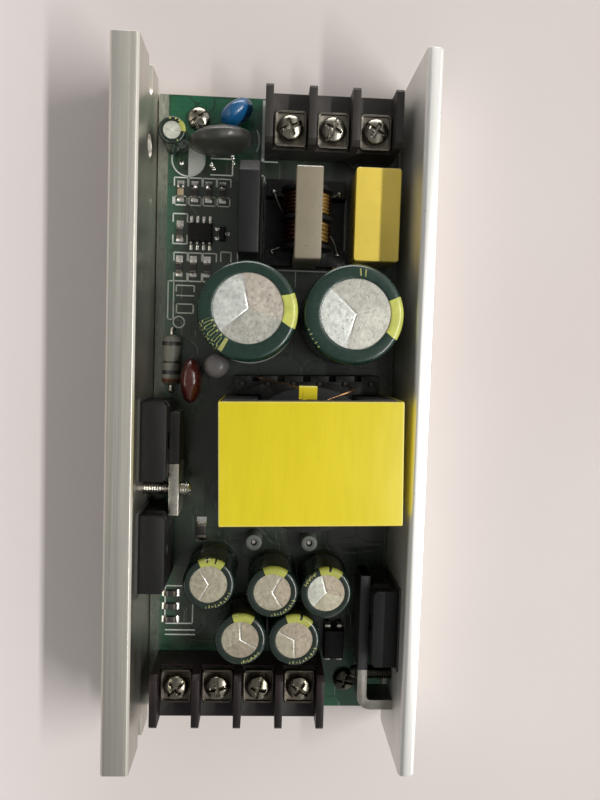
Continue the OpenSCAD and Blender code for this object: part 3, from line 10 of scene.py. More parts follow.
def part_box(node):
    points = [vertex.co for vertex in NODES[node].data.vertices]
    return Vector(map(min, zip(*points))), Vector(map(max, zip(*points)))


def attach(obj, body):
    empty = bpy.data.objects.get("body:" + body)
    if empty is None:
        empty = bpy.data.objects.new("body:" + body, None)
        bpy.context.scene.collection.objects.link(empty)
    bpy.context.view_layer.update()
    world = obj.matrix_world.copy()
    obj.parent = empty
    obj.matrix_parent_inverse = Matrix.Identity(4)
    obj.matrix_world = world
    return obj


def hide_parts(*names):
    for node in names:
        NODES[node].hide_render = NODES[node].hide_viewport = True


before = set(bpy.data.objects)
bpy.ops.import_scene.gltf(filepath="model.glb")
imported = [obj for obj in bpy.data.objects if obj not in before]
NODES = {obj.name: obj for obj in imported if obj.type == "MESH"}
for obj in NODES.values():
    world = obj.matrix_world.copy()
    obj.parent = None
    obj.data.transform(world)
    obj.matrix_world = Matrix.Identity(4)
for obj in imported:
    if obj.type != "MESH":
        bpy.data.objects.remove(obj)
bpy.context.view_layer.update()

# Shapes and the depths of bumps are in millimetres.
# Places inside shaders, the floor, the light and the camera are in metres
MM = 0.001
TURN = 2 * pi
scene = bpy.context.scene


# Small helpers
def box(node):
    """The two corners of a CAD node."""
    lo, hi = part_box(node)
    return Vector(lo) / MM, Vector(hi) / MM


def assign(target, **settings):
    for key, value in settings.items():
        setattr(target, key, value)
    return target


def polar(radius, angle, z):
    return Vector((radius * cos(angle), radius * sin(angle), z))


def upward(z):
    return Vector((0, 0, z))


def around(n):
    """The angles of n even steps round a circle."""
    return [TURN * i / n for i in range(n)]


def turned_at(point, angle, axis):
    return Matrix.Translation(point) @ Matrix.Rotation(radians(angle), 4, axis)


def link_object(name, data):
    obj = bpy.data.objects.new(name, data)
    scene.collection.objects.link(obj)
    return obj


board_lo, board_hi = box("circuit_board")


# Colours are written as eight-bit screen values
def linear(r, g, b):
    def one(c):
        c = c / 255
        return c / 12.92 if c <= 0.04045 else ((c + 0.055) / 1.055) ** 2.4
    return (one(r), one(g), one(b), 1)


def shade(colour, factor):
    return tuple(min(1, c * factor) for c in colour[:3]) + (1,)


# Materials
class Tree:
    """Short calls that add nodes to a material or to the world, and link them."""

    def __init__(self, tree):
        self.tree = tree

    def feed(self, n, values):
        """Gives a node's inputs plain values, or links them to what comes out of other nodes."""
        for key, value in values.items():
            if hasattr(value, "is_output"):
                self.tree.links.new(value, n.inputs[key])
            else:
                n.inputs[key].default_value = value
        return n

    def node(self, kind, values=None, **settings):
        n = assign(self.tree.nodes.new("ShaderNode" + kind), **settings)
        return self.feed(n, values or {})

    def span(self, value, from_low, from_high, low, high):
        """Takes one range of a value to another."""
        ends = {"From Min": from_low, "From Max": from_high, "To Min": low, "To Max": high}
        return self.node("MapRange", {"Value": value, **ends}).outputs["Result"]

    def math(self, operation, a, b=0):
        return self.node("Math", {0: a, 1: b}, operation=operation).outputs[0]

    def mix_numbers(self, factor, a, b):
        return self.node("Mix", {0: factor, 2: a, 3: b}, data_type="FLOAT").outputs[0]

    def mix(self, factor, a, b, blend="MIX"):
        return self.node("Mix", {0: factor, 6: a, 7: b}, data_type="RGBA", blend_type=blend).outputs[2]

    def split(self, vector):
        return self.node("SeparateXYZ", {0: vector}).outputs


class Surface(Tree):
    """A material with a Principled shader."""

    COAT_ROUGHNESS = 0.12

    def __init__(self, name, metallic=0, coat=0, specular=0.5):
        self.mat = bpy.data.materials.new(name + "_look")
        self.mat.use_nodes = True
        super().__init__(self.mat.node_tree)
        self.shader = self.tree.nodes["Principled BSDF"]
        self.feed(self.shader, {"Metallic": metallic, "Coat Weight": coat, "Specular IOR Level": specular,
                                "Coat Roughness": self.COAT_ROUGHNESS})
        self.coords = self.node("TexCoord").outputs["Object"]

    def axis(self, index):
        return self.split(self.coords)[index]

    def facing(self):
        return self.split(self.node("NewGeometry").outputs["Normal"])

    def mapped(self, stretch):
        return self.node("Mapping", {"Vector": self.coords, "Scale": stretch}).outputs["Vector"]

    def noise(self, scale, detail=3, stretch=None, rough=0.55):
        where = self.mapped(stretch) if stretch else self.coords
        values = {"Vector": where, "Scale": scale, "Detail": detail, "Roughness": rough}
        return self.node("TexNoise", values).outputs["Fac"]

    def ramp(self, value, stops):
        n = self.node("ValToRGB", {"Fac": value})
        while len(n.color_ramp.elements) < len(stops):
            n.color_ramp.elements.new(0.5)
        for element, (place, colour) in zip(n.color_ramp.elements, stops):
            assign(element, position=place, color=colour)
        return n.outputs["Color"]

    def tones(self, value, base, places, dark, light):
        """A colour with a darker and a lighter tone of it."""
        return self.ramp(value, list(zip(places, (shade(base, dark), base, shade(base, light)))))

    def layer(self, tone, colour, value, start, stop, amount):
        """Lays a colour over a tone where a value is high."""
        return self.mix(self.span(value, start, stop, 0, amount), tone, colour)

    def gloss(self, value, low, high):
        return self.span(value, 0.3, 0.7, low, high)

    def finish(self, tone, rough, *bumps):
        """Links the colour, the roughness and the bumps, each with its height and its depth."""
        self.feed(self.shader, {"Base Color": tone, "Roughness": rough})
        normal = {}
        for height, depth in bumps:
            n = self.node("Bump", {"Strength": 1, "Distance": depth * MM, "Height": height, **normal})
            normal = {"Normal": n.outputs["Normal"]}
        self.feed(self.shader, normal)
        return self.mat


def mottled(name, colour, vary, scale, rough, metallic, depth, grain, extra=None):
    """A surface with soft blotches of its colour, uneven gloss and a fine grain.

    What it has beside that: a coat, another specular, and specks, small dots of another colour.
    Sink is painted shade: an axis, two places on it in millimetres and how dark the first of them is.
    Painted highlight is the colour painted as a highlight on the rounded edge between a top and a face to the
    input side.
    """
    extra = extra or {}
    m = Surface(name, metallic, extra.get("coat", 0), extra.get("specular", 0.5))
    base = linear(*colour)
    tone = m.tones(m.noise(scale, 4), base, (0.28, 0.5, 0.75), 1 - vary, 1 + vary)
    if "specks" in extra:
        dots = m.noise(extra.get("speck_scale", 1600), 2)
        tone = m.layer(tone, linear(*extra["specks"]), dots, 0.62, 0.70, 0.8)
    # Painted shade, darkest at the first place on the axis and gone at the second
    if "sink" in extra:
        axis, start, stop, amount = extra["sink"]
        tone = m.mix(m.span(m.axis(axis), start * MM, stop * MM, amount, 0), tone, shade(base, 0.12))
    # Painted highlight on the rounded edge between the top and the face to the input side
    if "edge" in extra:
        _, to_input, up = m.facing()
        along = m.math("MULTIPLY", m.span(to_input, 0.25, 0.5, 0, 1), m.span(up, 0.2, 0.45, 0, 1))
        tone = m.mix(along, tone, linear(*extra["edge"]))
    return m.finish(tone, m.gloss(m.noise(scale * 2.3), *rough), (m.noise(grain), depth))


def plate_material(name, colour, line_scale, line_depth, rough, vary, face_rough, painted_shade):
    """Extruded aluminium: drawn lines, stains and nicks, with painted shade at the output end and on upright
    faces.
    """
    m = Surface(name, metallic=1)
    base = linear(*colour)
    dark = shade(base, 0.1)
    lines = m.noise(line_scale, 4, (1, 0.006, 1), 0.7)
    broad = m.noise(line_scale / 9, 2, (1, 0.004, 1))
    tone = m.tones(lines, base, (0.3, 0.55, 0.75), 1 - vary, 1 + vary)
    tone = m.layer(tone, shade(base, 0.82), broad, 0.35, 0.65, 0.35)
    tone = m.layer(tone, shade(base, 0.78), m.noise(70, 4), 0.55, 0.8, 0.3)
    tone = m.layer(tone, shade(base, 0.55), m.noise(900, 2), 0.72, 0.78, 0.5)
    # Painted shade: darker towards the output end and on upright faces
    tone = m.mix(m.span(m.axis(1), -0.07, 0.03, painted_shade, 0), tone, dark)
    upright = m.math("ABSOLUTE", m.facing()[0])
    tone = m.layer(tone, dark, upright, 0.5, 0.9, painted_shade * 0.6)
    rough = m.math("ADD", m.gloss(lines, *rough), m.span(upright, 0.5, 0.9, 0, face_rough))
    return m.finish(tone, rough, (lines, line_depth), (broad, line_depth * 2))


def board_material(name):
    """Solder mask, green, with painted shade that darkens it between the parts but not at the ends and the
    left side, and bare laminate along the edges, painted lighter near the input end and darker further in.
    """
    m = Surface(name, coat=0.25)
    green = linear(20, 92, 60)
    x, y, _ = m.split(m.coords)
    left, right = board_lo.x * MM, board_hi.x * MM
    flat = m.mapped((1, 1, 0))
    cells = {"Vector": flat, "Scale": 150, "Randomness": 0.85}
    near, far = [m.node("TexVoronoi", cells, feature=kind, distance="CHEBYCHEV").outputs["Distance"]
                 for kind in ("F1", "F2")]
    pour = m.span(m.math("SUBTRACT", far, near), 0.05, 0.08, 0, 1)
    fine = m.node("TexBrick", {"Vector": flat, "Scale": 260, "Mortar Size": 0.03, "Color1": (1, 1, 1, 1),
                               "Color2": (0.8, 0.8, 0.8, 1), "Mortar": (0, 0, 0, 1)})
    tone = m.mix(pour, shade(green, 0.5), green)
    tone = m.mix(0.22, tone, fine.outputs["Color"], "MULTIPLY")
    cloud = m.noise(160, 4)
    tone = m.layer(tone, shade(green, 1.35), cloud, 0.4, 0.7, 0.4)
    # Painted shade: a dark tone of the mask for the places between the parts
    shaded_tone = m.mix(0.92, tone, m.ramp(cloud, [(0.35, linear(38, 42, 33)), (0.65, linear(51, 58, 47))]))
    # Where no shade is painted: the input corner, the output side and the left side
    input_corner = m.math("MULTIPLY", m.span(y, 0.0495, 0.0565, 0, 1), m.span(x, -0.004, -0.001, 1, 0))
    output_side = m.span(y, -0.056, -0.050, 1, 0)
    left_side = m.span(x, left + 3 * MM, left + 5.5 * MM, 0.6, 0)
    unshaded_places = m.math("MAXIMUM", m.math("MAXIMUM", input_corner, output_side), left_side)
    tone = m.mix(unshaded_places, shaded_tone, tone)
    fibres = m.noise(2600, 2, (1, 0.25, 1))
    # Bare laminate with painted light near the input end and painted shade further in
    dim = m.ramp(fibres, [(0.3, linear(58, 68, 56)), (0.7, linear(82, 92, 78))])
    pale = m.ramp(fibres, [(0.3, linear(120, 122, 108)), (0.7, linear(158, 160, 146))])
    bare = m.math("MAXIMUM", m.span(x, left + 1.9 * MM, left + 2.1 * MM, 1, 0),
                  m.span(x, right - 0.5 * MM, right - 0.4 * MM, 0, 1))
    tone = m.mix(bare, tone, m.mix(m.span(y, 0.040, 0.056, 0, 1), dim, pale))
    cut = m.span(m.math("ABSOLUTE", m.facing()[2]), 0.4, 0.6, 1, 0)
    tone = m.mix(cut, tone, linear(146, 140, 96))
    return m.finish(tone, m.gloss(cloud, 0.24, 0.42), (pour, 0.03), (m.noise(900, 2), 0.01))


def tape_material(name):
    """Yellow polyester tape: smooth and glossy, with long soft wrinkles, smudges and a painted highlight on
    its rounded rim.
    """
    m = Surface(name, coat=0.06, specular=0.28)
    soft = m.noise(60, 3, (1, 0.35, 1))
    fibre = m.noise(1500, 3, (1, 0.08, 1))
    yellows = [(0.3, linear(226, 207, 38)), (0.55, linear(234, 215, 44)), (0.8, linear(238, 220, 60))]
    tone = m.ramp(soft, yellows)
    tone = m.layer(tone, linear(200, 180, 30), fibre, 0.45, 0.8, 0.18)
    tone = m.layer(tone, linear(176, 158, 34), m.noise(220), 0.66, 0.78, 0.25)
    # Painted highlight on the rounded rim between the top and the sides
    up = m.facing()[2]
    rim = m.math("MULTIPLY", m.span(up, 0.2, 0.45, 0, 0.7), m.span(up, 0.88, 0.97, 1, 0))
    tone = m.mix(rim, tone, linear(252, 244, 160))
    wrinkles = m.noise(110, 3, (1, 0.2, 1))
    return m.finish(tone, m.gloss(soft, 0.28, 0.42), (wrinkles, 0.12), (fibre, 0.006))


def sleeve_material(name, colour, rough, dent):
    """Shrunk film: glossy, with faint upright flow lines and small dents."""
    m = Surface(name, coat=0.3)
    tone = m.tones(m.noise(420, 4), linear(*colour), (0.3, 0.55, 0.8), 0.82, 1.2)
    dents = m.noise(700, 2, (1, 1, 0.2))
    return m.finish(tone, m.gloss(m.noise(900, 2), rough * 0.8, rough * 1.3), (dents, dent))


def can_top_material(name, colour):
    """Etched aluminium of a capacitor's top: crumpled grain with small dark pits."""
    m = Surface(name, metallic=0.75, specular=0.6)
    base = linear(*colour)
    grain = m.noise(1300, 5, None, 0.7)
    patch = m.noise(300)
    tone = m.tones(grain, base, (0.3, 0.5, 0.7), 0.8, 1.15)
    tone = m.layer(tone, shade(base, 0.78), patch, 0.42, 0.68, 0.6)
    tone = m.layer(tone, shade(base, 0.35), m.noise(2300, 1), 0.70, 0.74, 0.75)
    return m.finish(tone, m.gloss(grain, 0.36, 0.55), (grain, 0.05), (patch, 0.08))


input_top = box("input_terminal_body")[1].z
output_end = box("output_terminal_body")[0].y
film_top = box("film_capacitor")[1].z

# Each row: colour, strength and scale of the blotches, range of roughness, metal, depth and scale of the
# grain, and what the surface has beside that
MOTTLED = {
    "steel": ((205, 203, 196), 0.10, 500, (0.2, 0.36), 1, 0.012, 2200),
    "steel_dull": ((140, 136, 125), 0.18, 500, (0.16, 0.3), 1, 0.015, 1600),
    "steel_dark": ((120, 115, 103), 0.2, 500, (0.16, 0.3), 1, 0.015, 1600),
    "steel_shade": ((78, 77, 68), 0.18, 500, (0.2, 0.34), 1, 0.015, 1600),
    "tinned": ((204, 200, 188), 0.10, 700, (0.22, 0.4), 1, 0.01, 2500),
    "dull": ((112, 108, 100), 0.14, 700, (0.42, 0.6), 1, 0.02, 2000),
    "pin": ((66, 63, 58), 0.14, 700, (0.42, 0.6), 1, 0.02, 2000),
    "clamp": ((184, 181, 170), 0.14, 600, (0.24, 0.42), 1, 0.015, 2000),
    "clamp_right": ((152, 149, 141), 0.14, 600, (0.28, 0.44), 1, 0.015, 2000),
    "tray": ((112, 107, 98), 0.22, 500, (0.26, 0.44), 1, 0.03, 900),
    "tray_dark": ((84, 78, 70), 0.24, 500, (0.26, 0.44), 1, 0.03, 900),
    # Painted highlight: the score grooves get an aluminium lighter than the tops
    "score": ((240, 238, 232), 0.05, 900, (0.2, 0.3), 0.9, 0.01, 2500),
    "solder": ((214, 212, 206), 0.10, 900, (0.16, 0.3), 1, 0.03, 1300),
    "copper": ((92, 52, 38), 0.18, 900, (0.22, 0.36), 0.9, 0.01, 2500, {"coat": 0.2}),
    "copper_lit": ((236, 206, 142), 0.16, 900, (0.16, 0.28), 0.95, 0.01, 2500),
    "magnet_wire": ((170, 128, 88), 0.15, 900, (0.22, 0.36), 0.85, 0.01, 2500),
    # Painted shade by sink: the input block darker near its tops, the output block darker towards its output
    # end
    "block": ((57, 53, 50), 0.10, 300, (0.38, 0.5), 0, 0.02, 3000,
              {"specular": 0.35, "sink": (2, input_top - 0.5, input_top - 3, 0.2)}),
    "block_out": ((38, 27, 28), 0.12, 300, (0.38, 0.5), 0, 0.02, 3000,
                  {"specular": 0.3, "sink": (1, output_end + 4, output_end + 9, 0.7)}),
    "bobbin": ((20, 19, 19), 0.12, 400, (0.4, 0.54), 0, 0.015, 2500, {"specular": 0.3}),
    "ferrite": ((62, 62, 62), 0.14, 800, (0.55, 0.75), 0, 0.03, 2600, {"specks": (98, 98, 96)}),
    # Painted highlight along the choke core's edge to the input side
    "ferrite_light": ((142, 132, 112), 0.06, 260, (0.34, 0.46), 0, 0.015, 3000,
                      {"specks": (120, 110, 92), "speck_scale": 2800, "edge": (236, 234, 226)}),
    "bead": ((112, 118, 111), 0.12, 700, (0.5, 0.66), 0, 0.03, 2600),
    "epoxy": ((22, 21, 21), 0.10, 500, (0.46, 0.6), 0, 0.02, 3200,
              {"specks": (36, 35, 35), "speck_scale": 3600, "specular": 0.25}),
    "bridge": ((21, 23, 22), 0.07, 350, (0.4, 0.52), 0, 0.02, 3200, {"specular": 0.3}),
    # Painted shade down the film capacitor's sides, and a painted highlight along its edge to the input side
    "film": ((246, 218, 92), 0.05, 200, (0.26, 0.38), 0, 0.012, 1800,
             {"coat": 0.2, "edge": (254, 246, 214), "sink": (2, film_top - 2.6, film_top - 0.3, 0.75)}),
    "print": ((164, 166, 98), 0.12, 900, (0.4, 0.55), 0, 0.005, 2500),
    "rubber": ((34, 33, 33), 0.10, 600, (0.6, 0.75), 0, 0.03, 1800),
    "bead_cap": ((122, 119, 118), 0.08, 300, (0.34, 0.5), 0, 0.02, 1500),
    "disc_black": ((54, 54, 49), 0.14, 260, (0.28, 0.42), 0, 0.05, 700, {"coat": 0.2}),
    "disc_blue": ((24, 92, 142), 0.14, 300, (0.2, 0.34), 0, 0.04, 700, {"coat": 0.4}),
    "dip_brown": ((78, 30, 23), 0.14, 300, (0.2, 0.34), 0, 0.04, 700, {"coat": 0.4}),
    "resistor": ((122, 121, 112), 0.08, 400, (0.4, 0.55), 0, 0.04, 900),
    "band_dark": ((44, 42, 40), 0.10, 500, (0.4, 0.5), 0, 0.02, 1500),
    "band_brown": ((92, 60, 40), 0.10, 500, (0.4, 0.5), 0, 0.02, 1500),
    "pad": ((58, 55, 54), 0.10, 900, (0.7, 0.85), 0, 0.02, 3500),
    "sleeve_black": ((34, 33, 34), 0.12, 500, (0.4, 0.55), 0, 0.02, 1600),
    "chip": ((40, 38, 37), 0.10, 900, (0.45, 0.6), 0, 0.01, 3200),
    "chip_tan": ((168, 150, 118), 0.08, 900, (0.4, 0.55), 0, 0.01, 3200),
    "chip_cap": ((112, 108, 98), 0.16, 900, (0.4, 0.55), 0.8, 0.01, 2500),
    "ink": ((206, 212, 204), 0.06, 900, (0.5, 0.65), 0, 0.01, 2600),
}
# Each row: colour, roughness and depth of the dents
SLEEVES = {
    "sleeve_large": ((17, 47, 37), 0.24, 0.008),
    "sleeve_small": ((19, 36, 28), 0.24, 0.004),
    "stripe_large": ((206, 210, 104), 0.32, 0.02),
    "stripe_small": ((180, 184, 86), 0.32, 0.02),
    # Painted shade: a darker copy of the stripe's colour for its part down the side
    "stripe_low": ((54, 54, 24), 0.36, 0.02),
}
# Painted reflection: lit, middle and shaded copies of the same etched aluminium, one for each face of a
# scored top
CAN_TOPS = {
    "bright_large": ((224, 227, 219),),
    "mid_large": ((184, 183, 172),),
    "dark_large": ((194, 185, 172),),
    "bright_small": ((208, 210, 197),),
    "mid_small": ((184, 178, 156),),
    "dark_small": ((172, 161, 142),),
}
# Each row: colour, scale and depth of the lines, range of roughness, strength of the lines,
# how much rougher the upright faces are, and how dark the painted shade makes these and the output end
PLATES = {
    "plate_left": ((231, 227, 216), 2600, 0.018, (0.28, 0.42), 0.10, 0, 0.26),
    "plate_right": ((238, 237, 232), 3800, 0.008, (0.30, 0.38), 0.05, 0.2, 0.09),
}
LOOKS = {"board": board_material("board"), "tape": tape_material("tape")}
for make, rows in ((mottled, MOTTLED), (sleeve_material, SLEEVES), (can_top_material, CAN_TOPS),
                   (plate_material, PLATES)):
    for key, row in rows.items():
        LOOKS[key] = make(key, *row)


# Mesh code
class Shape:
    """Collects points and faces, each face with the index of its material."""

    def __init__(self):
        self.verts, self.faces, self.mats = [], [], []

    def add(self, verts, faces, mat=0):
        base = len(self.verts)
        self.verts += [Vector(v) for v in verts]
        self.faces += [tuple(i + base for i in f) for f in faces]
        self.mats += mat if isinstance(mat, list) else [mat] * len(faces)
        return self

    def turn(self, profile, segments, place, mat=0):
        """Adds a turned profile, placed by a matrix or by the point that it stands on."""
        matrix = place if isinstance(place, Matrix) else Matrix.Translation(Vector(place).to_3d())
        return self.add(*lathe(profile, segments, matrix)[:2], mat)


def show(name, mesh, bm, nodes, angle):
    """Makes a named object that rides on the part, with smooth shading up to the given angle."""
    bmesh.ops.recalc_face_normals(bm, faces=bm.faces)
    bm.to_mesh(mesh)
    bm.free()
    mesh.polygons.foreach_set("use_smooth", [True] * len(mesh.polygons))
    mesh.set_sharp_from_angle(angle=radians(angle))
    obj = link_object(name, mesh)
    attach(obj, "root")
    if nodes:
        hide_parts(*nodes)


def named_mesh(name, mats):
    mesh = bpy.data.meshes.new(name)
    for key in mats:
        mesh.materials.append(LOOKS[key])
    return mesh


def piece(name, shape, mats, angle, nodes=None):
    """Shows a shape that stands for the CAD node of its name, or for the given ones."""
    if nodes is None:
        name, nodes = name + "_look", [name]
    mesh = named_mesh(name, mats)
    mesh.from_pydata([v * MM for v in shape.verts], [], shape.faces)
    mesh.polygons.foreach_set("material_index", shape.mats)
    bm = bmesh.new()
    bm.from_mesh(mesh)
    bmesh.ops.remove_doubles(bm, verts=bm.verts, dist=1e-7)
    show(name, mesh, bm, nodes, angle)


def soften(bm, edges, width, segments):
    bmesh.ops.bevel(bm, geom=edges, offset=width * MM, offset_type="OFFSET", segments=segments, profile=0.5,
                    affect="EDGES", clamp_overlap=True)


def dress(node, mat, bevel, segments):
    """Stands for a CAD node with the same form and softened edges."""
    bm = bmesh.new()
    bm.from_mesh(NODES[node].data)
    bmesh.ops.remove_doubles(bm, verts=bm.verts, dist=2e-6)
    bmesh.ops.dissolve_degenerate(bm, edges=bm.edges, dist=1e-6)
    bmesh.ops.dissolve_limit(bm, angle_limit=radians(1), verts=bm.verts, edges=bm.edges)
    sharp = [e for e in bm.edges if len(e.link_faces) == 2 and e.calc_face_angle(0) > radians(32)]
    soften(bm, sharp, bevel, segments)
    for f in bm.faces:
        f.material_index = 0
    name = node + "_look"
    show(name, named_mesh(name, [mat]), bm, [node], 30)


def solids(node):
    """The two corners of each solid of a CAD node, from left to right and then from front to back."""
    mesh = NODES[node].data
    key = {}
    index = [key.setdefault(tuple(round(c * 1e6) for c in v.co), len(key)) for v in mesh.vertices]
    parent = list(range(len(key)))

    def root(i):
        while parent[i] != i:
            parent[i] = parent[parent[i]]
            i = parent[i]
        return i

    for p in mesh.polygons:
        first = root(index[p.vertices[0]])
        for v in p.vertices[1:]:
            parent[root(index[v])] = first
    groups = {}
    for micrometres, i in key.items():
        groups.setdefault(root(i), []).append([c / 1000 for c in micrometres])
    corners = [(Vector(map(min, *g)), Vector(map(max, *g))) for g in groups.values()]
    return sorted(corners, key=lambda c: (round(c[0].x, 2), c[0].y))


def banded(count, n, caps=True):
    """Faces between neighbouring rings of n points and, if asked, over both ends."""
    faces = [(k * n + i, k * n + (i + 1) % n, (k + 1) * n + (i + 1) % n, (k + 1) * n + i)
             for k in range(count - 1) for i in range(n)]
    if caps:
        faces += [tuple(range(n)), tuple((count - 1) * n + i for i in range(n))]
    return faces


def meshed(rows, columns):
    """Faces of a grid of points."""
    n = columns + 1
    corners = [r * n + c for r in range(rows) for c in range(columns)]
    return [(a, a + 1, a + n + 1, a + n) for a in corners]


def fanned(rings, spokes):
    """Faces of a disc: a fan round its first point, and rings of points round that."""
    faces = [(0, 1 + i, 1 + (i + 1) % spokes) for i in range(spokes)]
    for ring in range(1, rings):
        a, b = 1 + (ring - 1) * spokes, 1 + ring * spokes
        faces += [(a + i, b + i, b + (i + 1) % spokes, a + (i + 1) % spokes) for i in range(spokes)]
    return faces


def lathe(profile, turns, place=None, pick=None):
    """Turns (radius, height) points about the Z axis, in a number of steps or at the given angles.

    Place maps the points into the part's frame. Pick gives the material of a face from its angle and its row.
    """
    if isinstance(turns, int):
        turns = around(turns)
    n = len(turns)
    verts, rows = [], []
    for r, z in profile:
        if r < 1e-6:
            rows.append([len(verts)] * n)
            verts.append(upward(z))
        else:
            rows.append(list(range(len(verts), len(verts) + n)))
            verts += [polar(r, t, z) for t in turns]
    faces, indices = [], []
    for k, (a, b) in enumerate(zip(rows, rows[1:])):
        for i in range(n):
            j = (i + 1) % n
            corners = tuple(dict.fromkeys((a[i], a[j], b[j], b[i])))
            if len(corners) > 2:
                faces.append(corners)
                indices.append(pick(turns[i], k) if pick else 0)
    if place is not None:
        verts = [place @ v for v in verts]
    return verts, faces, indices


def tangents(pts):
    return [(pts[min(i + 1, len(pts) - 1)] - pts[max(i - 1, 0)]).normalized() for i in range(len(pts))]


def tube(pts, radius, sides=10):
    """A round wire along a path of points."""
    verts = []
    normal = (pts[1] - pts[0]).normalized().orthogonal().normalized()
    for p, t in zip(pts, tangents(pts)):
        normal = (normal - t * normal.dot(t)).normalized()
        other = t.cross(normal)
        for a in around(sides):
            verts.append(p + (normal * cos(a) + other * sin(a)) * radius)
    return verts, banded(len(pts), sides)


def ribbon(pts, side, half_w, half_t):
    """A flat strip along a path; side is the direction of its width."""
    section = ((-1, -0.7), (-0.8, -1), (0.8, -1), (1, -0.7), (1, 0.7), (0.8, 1), (-0.8, 1), (-1, 0.7))
    verts = []
    for p, t in zip(pts, tangents(pts)):
        up = t.cross(side).normalized()
        verts += [p + side * half_w * a + up * half_t * b for a, b in section]
    return verts, banded(len(pts), len(section))


def smooth_path(points, steps=8):
    """Points of a soft curve through the given ones."""
    pts = [Vector(p) for p in points]
    ends = [pts[0] * 2 - pts[1]] + pts + [pts[-1] * 2 - pts[-2]]
    out = []
    for i in range(1, len(ends) - 2):
        p0, p1, p2, p3 = ends[i - 1:i + 3]
        for t in [s / steps for s in range(steps)]:
            out.append(0.5 * ((2 * p1) + (p2 - p0) * t + (2 * p0 - 5 * p1 + 4 * p2 - p3) * t * t
                              + (3 * p1 - p0 - 3 * p2 + p3) * t * t * t))
    return out + [pts[-1]]


def rounded_box(lo, hi, radius, segments):
    """Points and faces of a box with round edges."""
    bm = bmesh.new()
    bmesh.ops.create_cube(bm, size=1)
    for v in bm.verts:
        v.co = (v.co * (hi - lo) + (hi + lo) / 2) * MM
    soften(bm, list(bm.edges), radius, segments)
    bm.verts.index_update()
    verts = [v.co / MM for v in bm.verts]
    faces = [tuple(v.index for v in f.verts) for f in bm.faces]
    bm.free()
    return verts, faces


# Capacitors: a shrunk sleeve with its stripe and its print, and a scored top of three faces
FILM, STRIPE, RUBBER, PRINT, STRIPE_PAINTED_SHADE = range(5)
SCORE = 3


